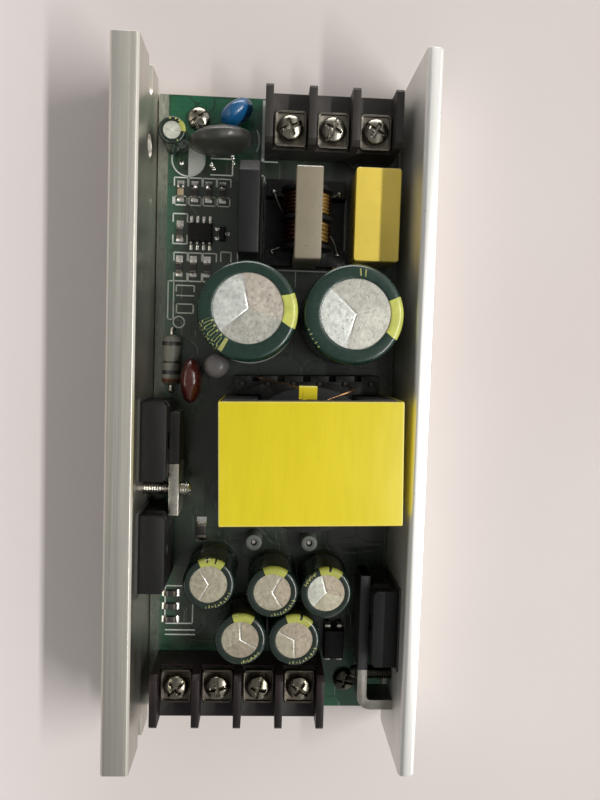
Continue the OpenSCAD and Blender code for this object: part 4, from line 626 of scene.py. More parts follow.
def capacitor(node, sleeve_node, corners, kind, lip_share, tilt, score_turn, stripe, tones, faint, marks,
              shift=(0, 0), gaps=()):
    """Stripe is an angle and half its width. A mark is the same with its first and last row of the profile.

    Gaps are cut out of the stripe, counted from its middle. Faint are the score lines that hardly show.
    Tilt is the fall of the top's faces. Shift moves the lip, where the sleeve ends on the top.
    """
    name = node.replace("_capacitor", "")
    lo, hi = corners
    mid = (lo + hi) / 2
    outer = (hi.x - lo.x) / 2
    z0, z1 = lo.z, hi.z
    lip = outer * lip_share
    soft = min(1, outer * 0.16)
    flat = outer - soft
    dip = 0.08
    profile = [(0, z0 + 0.5), (outer - 0.9, z0 + 0.5), (outer - 0.8, z0 + 0.05), (outer - 0.25, z0),
               (outer, z0 + 0.35), (outer, z0 + 1.6), (outer - 0.32, z0 + 2.1), (outer - 0.32, z0 + 2.5),
               (outer, z0 + 3)]
    profile += [(outer, z0 + 3 + (z1 - soft - z0 - 3) * i / 4) for i in range(1, 5)]
    for a in [pi / 16 * i for i in range(1, 9)]:
        profile.append((flat + soft * cos(a), z1 - soft + soft * sin(a)))
    for share, drop in ((0.35, 0.05), (0.7, 0.15), (0.92, 0.4)):
        profile.append((flat + (lip - flat) * share, z1 - dip * drop))
    profile += [(lip, z1 - dip * 1.5), (lip - 0.03, z1 - dip * 4)]
    first_film, first_bright, last_gap = 2, 12, 19
    at, half = map(radians, stripe)
    bars = [(radians(a), radians(w), first, last) for a, w, first, last in marks]
    cuts = [(at + radians(a), radians(w)) for a, w in gaps]
    steps, hair = 84, 1e-4
    turns = around(steps)
    turns += [at - half, at + half, at - half + hair, at + half - hair]
    turns += [a + e * w for a, w in [b[:2] for b in bars] + cuts for e in (-1, 1)]
    turns = sorted({round(a % TURN, 6) for a in turns})

    def near(angle, centre, width):
        """Whether a place a little past the angle, where a face starts, is inside a mark."""
        past = 0.01
        return abs((angle + past - centre + pi) % TURN - pi) < width

    def film(angle, row):
        if row < first_film:
            return RUBBER
        if near(angle, at, half):
            if first_bright <= row <= last_gap and any(near(angle, *c) for c in cuts):
                return FILM
            # Painted shade: below the shoulder the stripe takes a darker copy of its colour
            return STRIPE if row >= first_bright else STRIPE_PAINTED_SHADE
        return PRINT if any(b[2] <= row <= b[3] and near(angle, *b[:2]) for b in bars) else FILM

    verts, faces, indices = lathe(profile, turns, Matrix.Translation((mid.x, mid.y, 0)), film)
    lean = Vector((*shift, 0))
    for v in verts:
        r = (v - mid).xy.length
        if v.z > z1 - soft and r < flat:
            v += lean * min(1, (flat - r) / (flat - lip))
    films = ["sleeve_" + kind, "stripe_" + kind, "rubber", "print", "stripe_low"]
    piece(name + "_film", Shape().add(verts, faces, indices), films, 50, [sleeve_node])

    centre = Vector((mid.x, mid.y, z1 - 0.16)) + lean
    rings, spokes, third = 20, 96, TURN / 3
    starts = [radians(score_turn + 120 * k) for k in range(3)]
    bold = [a for k, a in enumerate(starts) if k not in faint]
    groove_w, groove_d = max(0.16, lip * 0.03), 0.09

    def arm_gap(t, r, arms):
        return min((abs(r * sin(t - a)) for a in arms if cos(t - a) > 0), default=1000)

    def sector(t):
        return int(((t - starts[0]) % TURN) / third)

    verts, indices = [centre - upward(groove_d * 0.6)], []
    order = [starts[0] + TURN * (i + 0.5) / spokes for i in range(spokes)]
    for ring in range(1, rings + 1):
        r = lip * 1.01 * ring / rings
        for t in order:
            fall = tilt * r * cos(t - starts[0] - (sector(t) + 0.5) * third)
            cut = 1 - arm_gap(t, r, bold) / groove_w
            trace = 0.35 - 0.35 * arm_gap(t, r, starts) / groove_w
            groove = groove_d * max(0, cut, trace) if r < lip * 0.94 else 0
            verts.append(centre + polar(r, t, -fall - groove))
    for ring in range(rings):
        for t in [a + pi / spokes for a in order]:
            scored = arm_gap(t, (ring + 0.5) / rings * lip, bold) < groove_w * 0.6 and ring < rings - 1
            # Each face of the top takes a lit, middle or shaded tone: painted reflection
            indices.append(SCORE if scored else tones[sector(t - 1e-6)])
    tops = [tone + "_" + kind for tone in ("bright", "mid", "dark")] + ["score"]
    top = Shape().add(verts, fanned(rings, spokes), indices)
    piece(name + "_top", top, tops, 20, [node])


def capacitors():
    # Marks stand where sleeves carry print, as plain strokes without any reading
    sleeves = "bulk_capacitor_sleeves"
    left, right = solids(sleeves)
    marks = [(236, 2.8, 17, 22)]
    for i in range(9):
        at, high, low = 194 + 4.4 * i, 19 + 3 * (i % 2), 13 + 4 * (i % 2)
        marks += [(at, 0.4, 20, 21), (at + 1.2, 1.3, high, high), (at + 2, 0.45, 15, 16 + i % 3)]
        marks += [(at + 0.6, 1.5, low, low)] if i % 3 else []
    capacitor("bulk_capacitor_left", sleeves, left, "large", 0.70, 0.035, 101, (2, 21), [0, 1, 2], (2,),
              marks, (0.15, 0.45))
    marks = [(77, 0.9, 19, 21), (84, 0.9, 19, 21)]
    marks += [(200 + 6 * i, 0.7, 16, 17 + i % 2) for i in range(5)]
    capacitor("bulk_capacitor_right", sleeves, right, "large", 0.70, 0.035, 135, (-3, 26), [0, 1, 1], (2,),
              marks, (0.35, 0.1))

    sleeves = "output_capacitor_sleeves"
    places = sorted(solids(sleeves), key=lambda c: (-round(c[1].y / 6), c[0].x))
    # Each row: turn of the score, stripe, painted tones of the faces, faint lines, gaps, first and last angle
    # of the print
    rows = [(2, (84, 31), [1, 1, 1], (0,), [(-10, 2), (10, 2)], -95, -22),
            (62, (84, 29), [1, 1, 2], (1,), [], -90, -20),
            (106, (80, 28), [0, 1, 2], (1, 2), [(2, 3.2)], 120, 160),
            (92, (84, 26), [1, 2, 2], (1,), [], -85, -35),
            (32, (78, 33), [2, 1, 2], (0,), [(-4, 3)], -100, -20)]
    for i, (corners, (*look, gaps, first, last)) in enumerate(zip(places, rows), 1):
        step = (last - first) / 9
        marks = [(first + step * k, 0.9 + 0.7 * (k % 3), 17 + k % 3, 19 + k % 2) for k in range(10)]
        capacitor("output_capacitor_%d" % i, sleeves, corners, "small", 0.71, 0.03, *look, marks, gaps=gaps)

    sleeves = "startup_capacitor_sleeve"
    marks = [(100, 5, 17, 20), (72, 4, 17, 20), (52, 5, 16, 20), (-60, 3, 18, 20)]
    capacitor("startup_capacitor", sleeves, solids(sleeves)[0], "small", 0.64, 0.02, 30, (20, 25), [0, 0, 0],
              (0, 1, 2), marks)


# Screws: domed heads with a slot and a cross recess, and sunk heads on the plates' outer faces
HEAD_HEIGHT = 1.97
SUNK_HEIGHT = 1.5
SHANK_RADIUS = 1.44
THREAD_PITCH = 0.5


def screw_head(top, radius, height, turn):
    rings, spokes = 22, 72
    crown = min(height * 0.42, radius * 0.36)
    slot_w, slot_d = radius * 0.27, height * 0.30
    arm_w, arm_l, arm_d = radius * 0.24, radius * 0.62, height * 0.52
    rim = 0.86

    def ease(x):
        x = max(0, min(1, x))
        return x * x * (3 - 2 * x)

    def sink(r, t):
        share = r / radius
        fall = crown * share ** 2
        if share > rim:
            fall += crown * 0.5 * ((share - rim) / (1 - rim)) ** 2
        x, y = r * cos(t - turn), r * sin(t - turn)
        cutting = slot_d * ease((slot_w / 2 - abs(y)) / (slot_w * 0.22) + 0.5)
        for u, v in ((x, y), (y, x)):
            inside = ease((arm_w / 2 - abs(v)) / (arm_w * 0.3) + 0.5)
            inside *= ease((arm_l - abs(u)) / (arm_l * 0.2) + 0.3)
            cutting = max(cutting, arm_d * inside * (1 - 0.35 * abs(u) / arm_l))
        return fall + cutting

    verts = [top - upward(sink(0, 0))]
    for ring in range(1, rings + 2):
        r = radius * min(1, ring / rings)
        for t in around(spokes):
            verts.append(top + polar(r, t, -sink(r, t) if ring <= rings else -height))
    return verts, fanned(rings + 1, spokes) + [tuple(1 + rings * spokes + i for i in range(spokes))]


def threaded(length, radius, tip=0.4):
    """The profile of a threaded shank from its head down."""
    points = [(radius * 0.98, 0)]
    z, rounding = 0, 1e-4
    while z < length - tip - THREAD_PITCH + rounding:
        points += [(radius * share, -z - THREAD_PITCH * down)
                   for share, down in ((1, 0.15), (1, 0.3), (0.84, 0.65), (0.84, 0.8))]
        z += THREAD_PITCH
    return points + [(radius * 0.84, -length + tip), (radius * 0.62, -length), (0, -length)]


def screws():
    for node, turns, mat in (("input_terminal_screws", [20, 65, -30], "steel_dull"),
                             ("output_terminal_screws", [40, 10, 75, -35], "steel_dark"),
                             ("board_screws", [35, -15], "steel_dull")):
        shape = Shape()
        for (lo, hi), turn in zip(solids(node), turns):
            mid = (lo + hi) / 2
            top = Vector((mid.x, mid.y, hi.z))
            shaded = node == "board_screws" and mid.y < 0
            shape.add(*screw_head(top, (hi.x - lo.x) / 2, HEAD_HEIGHT, radians(turn)), 1 if shaded else 0)
            seat = top - upward(HEAD_HEIGHT)
            shape.turn(threaded(seat.z - lo.z, SHANK_RADIUS), 24, seat)
        piece(node, shape, [mat, "steel_shade"], 35)

    shape = Shape()
    for lo, hi in solids("clamp_screws"):
        mid = (lo + hi) / 2
        left = lo.x < 0
        place = turned_at((lo.x if left else hi.x, mid.y, mid.z), -90 if left else 90, "Y")
        flat = (hi.z - lo.z) / 2
        shank = [(0, -0.9), (0.35, -0.9), (0.9, -0.35), (1.3, 0), (flat, 0), (flat, -0.25),
                 (SHANK_RADIUS, -1.4)]
        shank += [(r, z - SUNK_HEIGHT) for r, z in threaded(hi.x - lo.x - SUNK_HEIGHT, 1.42)]
        shape.turn(shank, 28, place, 0 if left else 1)
    piece("clamp_screws", shape, ["steel", "steel_shade"], 35)


# The choke's two windings, each turn a round wire, with its ends led to the pins
def choke():
    pins = solids("choke_pins")
    steps, lit_from, lit_to = 36, 28, 64
    for node, turns, sign in (("choke_winding_front", 5, -1), ("choke_winding_rear", 6, 1)):
        lo, hi = box(node)
        mid, length = (lo + hi) / 2, hi.y - lo.y
        wire = length / (turns + 1) / 2 * 0.96
        radius = (hi.x - lo.x) / 2 - wire
        path = []
        for i in range(turns * steps + 1):
            a = TURN * i / steps - pi / 2
            y = lo.y + wire + (length - 2 * wire) * i / (turns * steps)
            path.append(Vector((mid.x + radius * cos(a), y, mid.z + radius * sin(a))))
        verts, faces = tube(path, wire)
        # Painted highlight of the lamp: faces of the turns between these angles get a lighter copper
        angles = [degrees(atan2(verts[f[0]].z - mid.z, verts[f[0]].x - mid.x)) for f in faces]
        shape = Shape().add(verts, faces, [2 if lit_from < a < lit_to else 0 for a in angles])
        inner = radius - wire * 0.9
        core = [(inner - 0.5, 0.02), (inner, 0.05), (inner, length - 0.05), (inner - 0.5, length - 0.02)]
        shape.turn(core, 40, turned_at((mid.x, lo.y, mid.z), -90, "X"))
        near = sorted(pins, key=lambda c: sign * (c[0].y + c[1].y))[2:]
        for (pin_lo, pin_hi), start in zip(sorted(near, key=lambda c: c[0].x), (path[0], path[-1])):
            pin = (pin_lo + pin_hi) / 2
            reach = radius if pin.x > mid.x else -radius
            route = [start, (mid.x + reach * 0.75, start.y, mid.z - radius * 0.85),
                     ((pin.x + mid.x + reach) / 2, (start.y + pin.y) / 2, pin_hi.z + 0.3),
                     (pin.x, pin.y, pin_hi.z - 0.1)]
            shape.add(*tube(smooth_path(route, 10), wire * 0.72), 1)
        piece(node, shape, ["copper", "dull", "copper_lit"], 50)

    shape = Shape()
    for lo, hi in pins:
        blob = [(r, hi.z + z) for r, z in ((0, 0.05), (0.34, -0.02), (0.56, -0.3), (0.62, -0.7), (0.42, -1))]
        shape.turn(blob + [(0.40, lo.z + 0.4), (0.2, lo.z), (0, lo.z)], 16, ((lo + hi) / 2).xy)
    piece("choke_pins", shape, ["solder"], 50)


# Dipped and coated parts
def lens(diameter, thick, power, bulge, steps):
    """Profile of a dipped part, from one face over its rim to the other."""
    points = []
    for i in range(steps + 1):
        a = pi * i / steps
        share = 0 if i in (0, steps) else sin(a) ** power
        z = thick / 2 * copysign(abs(cos(a)) ** power, cos(a))
        points.append((diameter / 2 * share, z * (1 - bulge * share ** 2 * 0.5)))
    return points


def wavy(verts, centre, amount, seed):
    """Small swellings of a dipped coat."""
    out = []
    for v in verts:
        d = v - centre
        n = sin(d.x * 1.9 + seed) * cos(d.z * 1.5 + seed * 2) + 0.6 * sin(d.y * 2.3 - d.z * 1.1 + seed)
        out.append(v + d.normalized() * amount * (n - 1.6))
    return out


def rod(radius, top, foot):
    return [(0, top), (radius, top), (radius, foot), (0, foot)]


def standing_disc(node, turn, thick):
    lo, hi = box(node)
    leads = 4.1
    diameter = hi.z - lo.z - leads
    mid = (lo + hi) / 2
    mid.z = hi.z - diameter / 2
    about = Matrix.Rotation(radians(turn), 4, "Z")
    place = Matrix.Translation(mid) @ about @ Matrix.Rotation(radians(90), 4, "X")
    verts, faces, _ = lathe(lens(diameter, thick, 2 / 2.6, 0.35, 22), 64, place)
    shape = Shape().add(wavy(verts, mid, 0.05, turn), faces)
    for side in (-1, 1):
        foot = (mid + about @ Vector((side * diameter * 0.25, 0, 0))).xy
        skirt = [(0.95, mid.z - diameter * 0.34), (0.85, mid.z - diameter * 0.46), (0.55, lo.z + 4),
                 (0.42, lo.z + 3.3)]
        shape.turn(skirt, 16, foot)
        shape.turn(rod(0.38, lo.z + 4.2, lo.z), 12, foot, 1)
    slot = {"thermistor": "disc_black", "varistor": "disc_blue"}[node]
    piece(node, shape, [slot, "tinned"], 60)


def dipped_capacitor():
    lo, hi = box("dipped_capacitor")
    size = Vector((hi.x - lo.x, hi.y - lo.y, hi.z - board_hi.z - 0.6))
    mid = (lo + hi) / 2
    mid.z = hi.z - size.z / 2
    verts, faces, _ = lathe(lens(1, 1, 0.62, 0, 24), 48)
    shape = Shape().add(wavy([v * size + mid for v in verts], mid, 0.06, 1), faces)
    for y in (mid.y - 2.5, mid.y + 2.5):
        shape.turn(rod(0.4, board_hi.z + 1.4, lo.z), 12, (mid.x, y), 1)
    piece("dipped_capacitor", shape, ["dip_brown", "tinned"], 60)


def bead_capacitor():
    lo, hi = box("bead_capacitor")
    radius, crown = (hi.x - lo.x) / 2, 2.2
    z0, z1 = board_hi.z, hi.z
    dome = [(0, z0 + 0.3), (radius * 0.7, z0 + 0.3), (radius * 0.9, z0 + 0.6), (radius, z0 + 1.6),
            (radius, z1 - crown)]
    for a in [pi / 20 * i for i in range(1, 10)]:
        dome.append((radius * cos(a) ** 0.8, z1 - crown + crown * sin(a)))
    mid = (lo + hi) / 2
    mid.z = (z0 + z1) / 2
    verts, faces, _ = lathe(dome + [(0, z1)], 48, Matrix.Translation((mid.x, mid.y, 0)))
    shape = Shape().add(wavy(verts, mid, 0.04, 2), faces)
    piece("bead_capacitor", shape, ["bead_cap"], 60)


def power_resistor():
    lo, hi = box("power_resistor")
    radius = (hi.x - lo.x) / 2
    mid = (lo + hi) / 2
    mid.z = hi.z - radius
    half, reach = (hi.y - lo.y) / 2 - 1.6, (hi.y - lo.y) / 2 - 0.4
    # Share of the radius and share of the length, up to the waist
    shoulder = [(0.30, 0), (0.62, 0.02), (0.90, 0.06), (1, 0.14), (0.98, 0.22), (0.90, 0.30), (0.88, 0.40)]
    shares = [(0, 0)] + shoulder + [(0.88, s) for s in (0.44, 0.48, 0.52, 0.56, 0.60)]
    shares += [(r, 1 - s) for r, s in reversed(shoulder)] + [(0, 1)]
    bands = {3: 2, 5: 1, 8: 1, 15: 1}
    profile = [(radius * r, half * (2 * s - 1)) for r, s in shares]
    place = turned_at(mid, -90, "X")
    shape = Shape().add(*lathe(profile, 40, place, lambda angle, row: bands.get(row, 0)))
    for side in (-1, 1):
        route = [(half - 0.2, mid.z), (reach - 0.5, mid.z), (reach, mid.z - 0.6), (reach, lo.z)]
        shape.add(*tube(smooth_path([(mid.x, mid.y + side * y, z) for y, z in route], 6), 0.39, 12), 3)
    piece("power_resistor", shape, ["resistor", "band_dark", "band_brown", "tinned"], 45)


def ferrite_beads():
    shape = Shape()
    for lo, hi in solids("ferrite_beads"):
        r = (hi.x - lo.x) / 2
        ring = [(r - 0.3, lo.z), (r, lo.z + 0.3), (r, hi.z - 0.35), (r - 0.12, hi.z - 0.1), (r - 0.4, hi.z),
                (0.95, hi.z), (0.68, hi.z - 0.12), (0.6, hi.z - 0.4), (0.6, lo.z), (r - 0.3, lo.z)]
        shape.turn(ring, 48, ((lo + hi) / 2).xy)
    piece("ferrite_beads", shape, ["bead"], 40)


# Chips with tinned ends and solder fillets
def chips():
    body, ends = Shape(), Shape()
    places = solids("chip_components")
    pale = min(places, key=lambda c: (-round(c[1].y), c[0].x))[0]
    steps, across = 6, (-1, -0.5, 0, 0.5, 1)
    fillet = meshed(steps, len(across) - 1)
    for lo, hi in places:
        size, mid = hi - lo, (lo + hi) / 2
        long, wide = (1, 0) if size.y > size.x else (0, 1)
        cap, half = size[long] * 0.2, size[wide] / 2 + 0.08
        low, high = lo + upward(0.04), hi - upward(0.03)
        low[long] += cap * 0.9
        high[long] -= cap * 0.9
        body.add(*rounded_box(low, high, 0.05, 2), 1 if lo == pale else 0)
        for side, tip in ((-1, lo[long]), (1, hi[long])):
            low, high = lo.copy(), hi.copy()
            low[long], high[long] = sorted((tip, tip - side * cap))
            ends.add(*rounded_box(low, high, 0.07, 3), 1)
            # Solder reaches further out at the input end of chips that lie lengthwise
            out = 1.4 if long == 1 and side == 1 else 0.85
            verts = []
            for u in [s / steps for s in range(steps + 1)]:
                height = size.z * 0.75 * (1 - u) ** 2 + 0.02
                for q in across:
                    v = upward(lo.z + height * (1 - 0.35 * q * q))
                    v[long], v[wide] = tip + side * out * u, mid[wide] + half * q
                    verts.append(v)
            ends.add(verts, fillet)
    piece("chip_bodies_look", body, ["chip", "chip_tan"], 40, ["chip_components"])
    piece("chip_ends_look", ends, ["solder", "chip_cap"], 40, ["chip_components"])


# Small packages: a moulded body with a dimple, formed leads and soldered feet, on a grid
GRID = 1.27


def round_outline(x0, y0, x1, y1, radius, per_corner=4, per_side=7):
    """Points of a rectangle with round corners."""
    arcs = []
    for x, y, start in ((x1 - radius, y1 - radius, 0), (x0 + radius, y1 - radius, 90),
                        (x0 + radius, y0 + radius, 180), (x1 - radius, y0 + radius, 270)):
        angles = [radians(start + 90 * i / (per_corner - 1)) for i in range(per_corner)]
        arcs.append([(x + radius * cos(a), y + radius * sin(a)) for a in angles])
    points = []
    for arc, following in zip(arcs, arcs[1:] + arcs[:1]):
        (ax, ay), (bx, by) = arc[-1], following[0]
        shares = [i / per_side for i in range(1, per_side)]
        points += arc + [(ax + (bx - ax) * u, ay + (by - ay) * u) for u in shares]
    return points


def stacked(rings, peak):
    """Faces between rings of points, closed below by the first ring and above by a fan to the peak."""
    n = len(rings[0])
    verts = [v for ring in rings for v in ring] + [peak]
    last = (len(rings) - 1) * n
    fan = [(last + i, last + (i + 1) % n, len(verts) - 1) for i in range(n)]
    return verts, [tuple(range(n))] + banded(len(rings), n, False) + fan


def moulded(lo, hi, draft, soft, dimple, dimple_r, depth=0.07):
    """A body whose sides lean in from a parting line at half height, with a round dimple in its top."""
    z0, z1 = lo[2], hi[2]
    middle = (z0 + z1) / 2
    rings = []
    for inset, z in ((draft, z0), (0, middle - 0.02), (0, middle + 0.02), (draft, z1 - soft),
                     (draft + soft * 0.3, z1 - soft * 0.3), (draft + soft, z1)):
        outline = round_outline(lo[0] + inset, lo[1] + inset, hi[0] - inset, hi[1] - inset, 0.14)
        rings.append([Vector((x, y, z)) for x, y in outline])
    centre = Vector((*dimple, z1))
    top = rings[-1]
    for share, drop in ((1.12, 0), (1, 0.15), (0.9, 0.7), (0.6, 1)):
        bottom = upward(depth * drop)
        rings.append([centre + (v - centre).normalized() * dimple_r * share - bottom for v in top])
    return stacked(rings, centre - upward(depth))


def pool(x, y, half_x, half_y, height):
    """A low pool of solder on a pad."""
    rings = []
    for share, rise in ((1, 0), (0.98, 0.3), (0.88, 0.65), (0.65, 0.9), (0.35, 0.99)):
        dx, dy = half_x * share, half_y * share
        outline = round_outline(x - dx, y - dy, x + dx, y + dy, min(dx, dy) * 0.7)
        rings.append([Vector((px, py, board_hi.z + height * rise)) for px, py in outline])
    return stacked(rings, Vector((x, y, board_hi.z + height)))


def formed_lead(x, y, out, rise, reach, half_w, half_t):
    """A gull-wing lead that leaves a body at x, y in the direction out."""
    out = Vector((*out, 0))
    steps = [(-0.15, rise), (0.2 * reach, rise), (0.36 * reach, rise * 0.86), (0.46 * reach, rise * 0.5),
             (0.56 * reach, rise * 0.22), (0.70 * reach, half_t * 1.3), (reach, half_t)]
    path = [Vector((x, y, board_hi.z + h)) + out * u for u, h in steps]
    return ribbon(path, Vector((-out.y, out.x, 0)), half_w, half_t)


def small_packages():
    z = board_hi.z
    lo, hi = box("controller_chip")
    mid, half = (lo + hi) / 2, 1.95
    shape = Shape().add(*moulded((lo.x, mid.y - half, z + 0.15), (hi.x, mid.y + half, hi.z), 0.16, 0.08,
                                 (lo.x + 0.95, mid.y - 0.95), 0.36))
    for side in (-1, 1):
        for x in [mid.x + (i - 1.5) * GRID for i in range(4)]:
            shape.add(*formed_lead(x, mid.y + side * half, (0, side), 0.82, 1.05, 0.21, 0.09), 1)
            shape.add(*pool(x, mid.y + side * (half + 0.82), 0.33, 0.72, 0.13), 1)
    piece("controller_chip", shape, ["epoxy", "solder"], 32)

    lo, hi = box("signal_transistor")
    mid, half = (lo + hi) / 2, 0.65
    shape = Shape().add(*moulded((mid.x - half, lo.y, z + 0.1), (mid.x + half, hi.y, hi.z), 0.1, 0.06,
                                 (mid.x, mid.y + 0.7), 0.2, 0.04))
    for side, y in ((-1, mid.y - 0.95), (-1, mid.y + 0.95), (1, mid.y)):
        shape.add(*formed_lead(mid.x + side * half, y, (side, 0), 0.55, 0.6, 0.2, 0.06), 1)
        shape.add(*pool(mid.x + side * (half + 0.5), y, 0.55, 0.36, 0.12), 1)
    piece("signal_transistor", shape, ["epoxy", "solder"], 32)

    lo, hi = box("optocoupler")
    mid, foot = (lo + hi) / 2, z + 0.4
    half = Vector((2.2, 3.2))
    shape = Shape().add(*moulded((*(mid.xy - half), foot), (*(mid.xy + half), hi.z), 0.22, 0.1,
                                 (mid.x + 1.1, mid.y + 2.1), 0.42))
    parting, across = (foot + hi.z) / 2, Vector((1, 0, 0))
    for x in (mid.x - GRID, mid.x + GRID):
        for side, end in ((-1, lo.y), (1, hi.y)):
            root, tip = mid.y + side * (half.y - 0.1), end - side * 0.4
            bend = [(root, parting), (tip - side * 0.25, parting), (tip, parting - 0.25), (tip, z + 0.5)]
            shape.add(*ribbon(smooth_path([(x, y, h) for y, h in bend], 4), across, 0.6, 0.13), 1)
            shape.add(*ribbon([Vector((x, tip, z + 0.7)), Vector((x, tip, lo.z))], across, 0.26, 0.13), 1)
    piece("optocoupler", shape, ["epoxy", "tinned"], 32)


# What shows at the transformer's input side: a tape end over the flange, and two lead-out wires
def transformer_ends():
    lo, hi = box("transformer_winding")
    mid, coil, top, rail = (lo + hi) / 2, (hi.x - lo.x) / 2, hi.z + 0.9, lo.z

    def route(points, steps):
        return smooth_path([(mid.x + x, mid.y + coil + y, z) for x, y, z in points], steps)

    fall = ((-1.65, 0.05), (-0.2, 0.06), (0.45, 0.06), (0.72, -0.15), (0.74, -0.8), (0.4, -1.4), (0.12, -2.6),
            (0.1, -7))
    fold = [(-0.7, y, top + z) for y, z in fall]
    patch = [(-0.5, -1.6, top + 0.14), (-0.4, -0.7, top + 0.2), (-0.3, 0, top + 0.16)]
    left = [(-2.2, 0.3, top - 1.6), (-4, 0.75, top - 3.5), (-8, 1.4, rail + 2), (-9.9, 1.7, rail + 0.2),
            (-10.16, 1.75, rail - 1.5), (-10.16, 1.7, rail - 3.6)]
    right = [(2.9, -1.7, top + 0.12), (5.2, -0.75, top + 0.12), (7.2, 0, top - 0.8), (8.3, 0.5, top - 4),
             (8.3, 0.2, top - 8), (7.7, 0.75, rail + 0.5)]
    shape = Shape().add(*ribbon(route(fold, 4), Vector((1, 0, 0)), 1.65, 0.05))
    shape.add(*ribbon(route(patch, 4), Vector((0.98, 0.2, 0)), 1.2, 0.05))
    for wire in (left, right):
        shape.add(*tube(route(wire, 8), 0.15, 8), 1)
    piece("transformer_ends", shape, ["tape", "magnet_wire"], 50, [])


# Solder joints under the board, with the tail of each lead
def solder():
    base = board_lo.z
    tail, same_lead = 0.9, 0.9
    groups = []
    for name, node in NODES.items():
        if name.startswith("heatsink") or name == "board_screws":
            continue
        for x, y, z in [v.co / MM for v in node.data.vertices]:
            if z >= base - tail:
                continue
            for g in groups:
                if hypot(g[0] / g[3] - x, g[1] / g[3] - y) < same_lead:
                    g[:] = g[0] + x, g[1] + y, min(g[2], z), g[3] + 1
                    break
            else:
                groups.append([x, y, z, 1])
    shape = Shape()
    for sum_x, sum_y, z, n in groups:
        x, y = sum_x / n, sum_y / n
        wide = 1.05 + 0.12 * sin(x * 3 + y * 1.7)
        cone = [(0, z), (0.26, z), (0.36, z + 0.14), (0.42, base - 0.75), (0.55, base - 0.45),
                (0.8, base - 0.2), (wide, base - 0.04), (wide, base)]
        shape.turn(cone, 18, (x, y))
    piece("solder_joints", shape, ["solder"], 60, [])


# Print on the board: outlines only
def silkscreen():
    ink, dots = Shape(), Shape()
    low, high = board_hi.z, board_hi.z + 0.03
    width = 0.26

    def prism(outline):
        ink.add([(x, y, z) for z in (low, high) for x, y in outline], banded(2, len(outline)))

    def strip(x0, y0, x1, y1):
        prism([(x0, y0), (x1, y0), (x1, y1), (x0, y1)])

    def line(x0, y0, x1, y1):
        x0, x1, y0, y1 = min(x0, x1), max(x0, x1), min(y0, y1), max(y0, y1)
        grow_x, grow_y = (width / 2, 0) if y1 - y0 > x1 - x0 else (0, width / 2)
        strip(x0 - grow_x, y0 - grow_y, x1 + grow_x, y1 + grow_y)

    def frame_of(x0, y0, x1, y1):
        for corners in ((x0, y0, x1, y0 + width), (x0, y1 - width, x1, y1), (x0, y0, x0 + width, y1),
                        (x1 - width, y0, x1, y1)):
            strip(*corners)

    def bracket(x0, x1, y_far, y_near):
        line(x0, y_far, x1, y_far)
        line(x0, y_far, x0, y_near)
        line(x1, y_far, x1, y_near)

    def rim(x, y, radius, start, end, steps):
        angles = [radians(start + (end - start) * i / steps) for i in range(steps + 1)]
        return [(x + radius * cos(a), y + radius * sin(a)) for a in angles]

    def arc(x, y, radius, start=0, end=360, steps=72):
        inside, outside = [rim(x, y, radius + e * width / 2, start, end, steps) for e in (-1, 1)]
        verts = []
        for a, b in zip(inside, outside):
            verts += [(*a, low), (*a, high), (*b, high), (*b, low)]
        ink.add(verts, banded(steps + 1, 4))

    # First chip row and second chip row
    for x in [-20.5 + 2.92 * i for i in range(4)]:
        bracket(x, x + 2.75, 47.4, 45.7)
        frame_of(x, 41.75, x + 2.75, 43.75)
        strip(x - 0.35, 42, x - 0.05, 43.5)
    for x in [-20.3 + 2.98 * i for i in range(3)]:
        bracket(x, x + 2.75, 32.2, 30.5)
        bracket(x, x + 2.75, 26.4, 28.1)
    # The single chip, the part beside the second row, and the column beside the left bulk capacitor
    for row in ((-20.6, -17.7, 40.1, 38.4), (-20.6, -17.7, 34, 35.8), (-10.7, -8.6, 32.6, 30.6),
                (-19.7, -16, 25.5, 24.2)):
        bracket(*row)
    # That column, and the chips beside the output capacitors
    for row in ((-21.5, 18.3, -20.1, 26.5), (-19.7, 19.7, -16, 21.8), (-20.9, -46.1, -14.8, -37.7)):
        frame_of(*row)
    # The links beside the thermistor, the input block, the column, and the output capacitors
    for row in ((-13.2, 51.5, -8.7, 51.5), (-13.2, 48.2, -8.7, 48.2), (-8.7, 48.2, -8.7, 51.5),
                (-2.7, 63.6, -2.4, 51.3), (-2.4, 51.3, 0.6, 51.3), (-19.7, 23.4, -16, 23.4),
                (-20.7, -47.4, -14.3, -47.4), (-20.7, -48.4, -14.3, -48.4)):
        line(*row)
    # The round part beside the thermistor, half of it filled, and other round outlines
    arc(-17.73, 51.06, 3.35)
    prism(rim(-17.73, 51.06, 3.25, -90, 90, 24))
    arc(-8.2, 55.4, 4.8, -28, 28, 24)
    arc(-19.05, 17.93, 1.15, steps=32)
    lo, hi = solids("bulk_capacitor_sleeves")[0]
    arc(*((lo + hi) / 2).xy, (hi.x - lo.x) / 2 + 0.35)
    for node, grow in (("bridge_rectifier", 0.7), ("choke_bobbin", 0.5)):
        lo, hi = box(node)
        frame_of(lo.x - grow, lo.y - grow, hi.x + grow, hi.y + grow)
    piece("board_print", ink, ["ink"], 30, [])

    # Soldered ends of the links and test points
    for x, y, r in ((-19.1, 50.3, 0.55), (-13, 50.2, 0.5), (-12.5, 49.4, 0.45), (-8.7, 51.8, 0.5),
                    (-8.5, 50.7, 0.45)):
        dots.turn([(r, low), (r * 0.92, low + 0.1), (r * 0.6, low + 0.22), (0, low + 0.28)], 20, (x, y))
    piece("board_dots", dots, ["solder"], 50, [])


# Pieces
capacitors()
screws()
choke()
standing_disc("thermistor", 6, 4.8)
standing_disc("varistor", 35, 4.4)
dipped_capacitor()
bead_capacitor()
power_resistor()
ferrite_beads()
chips()
small_packages()
transformer_ends()
solder()
silkscreen()

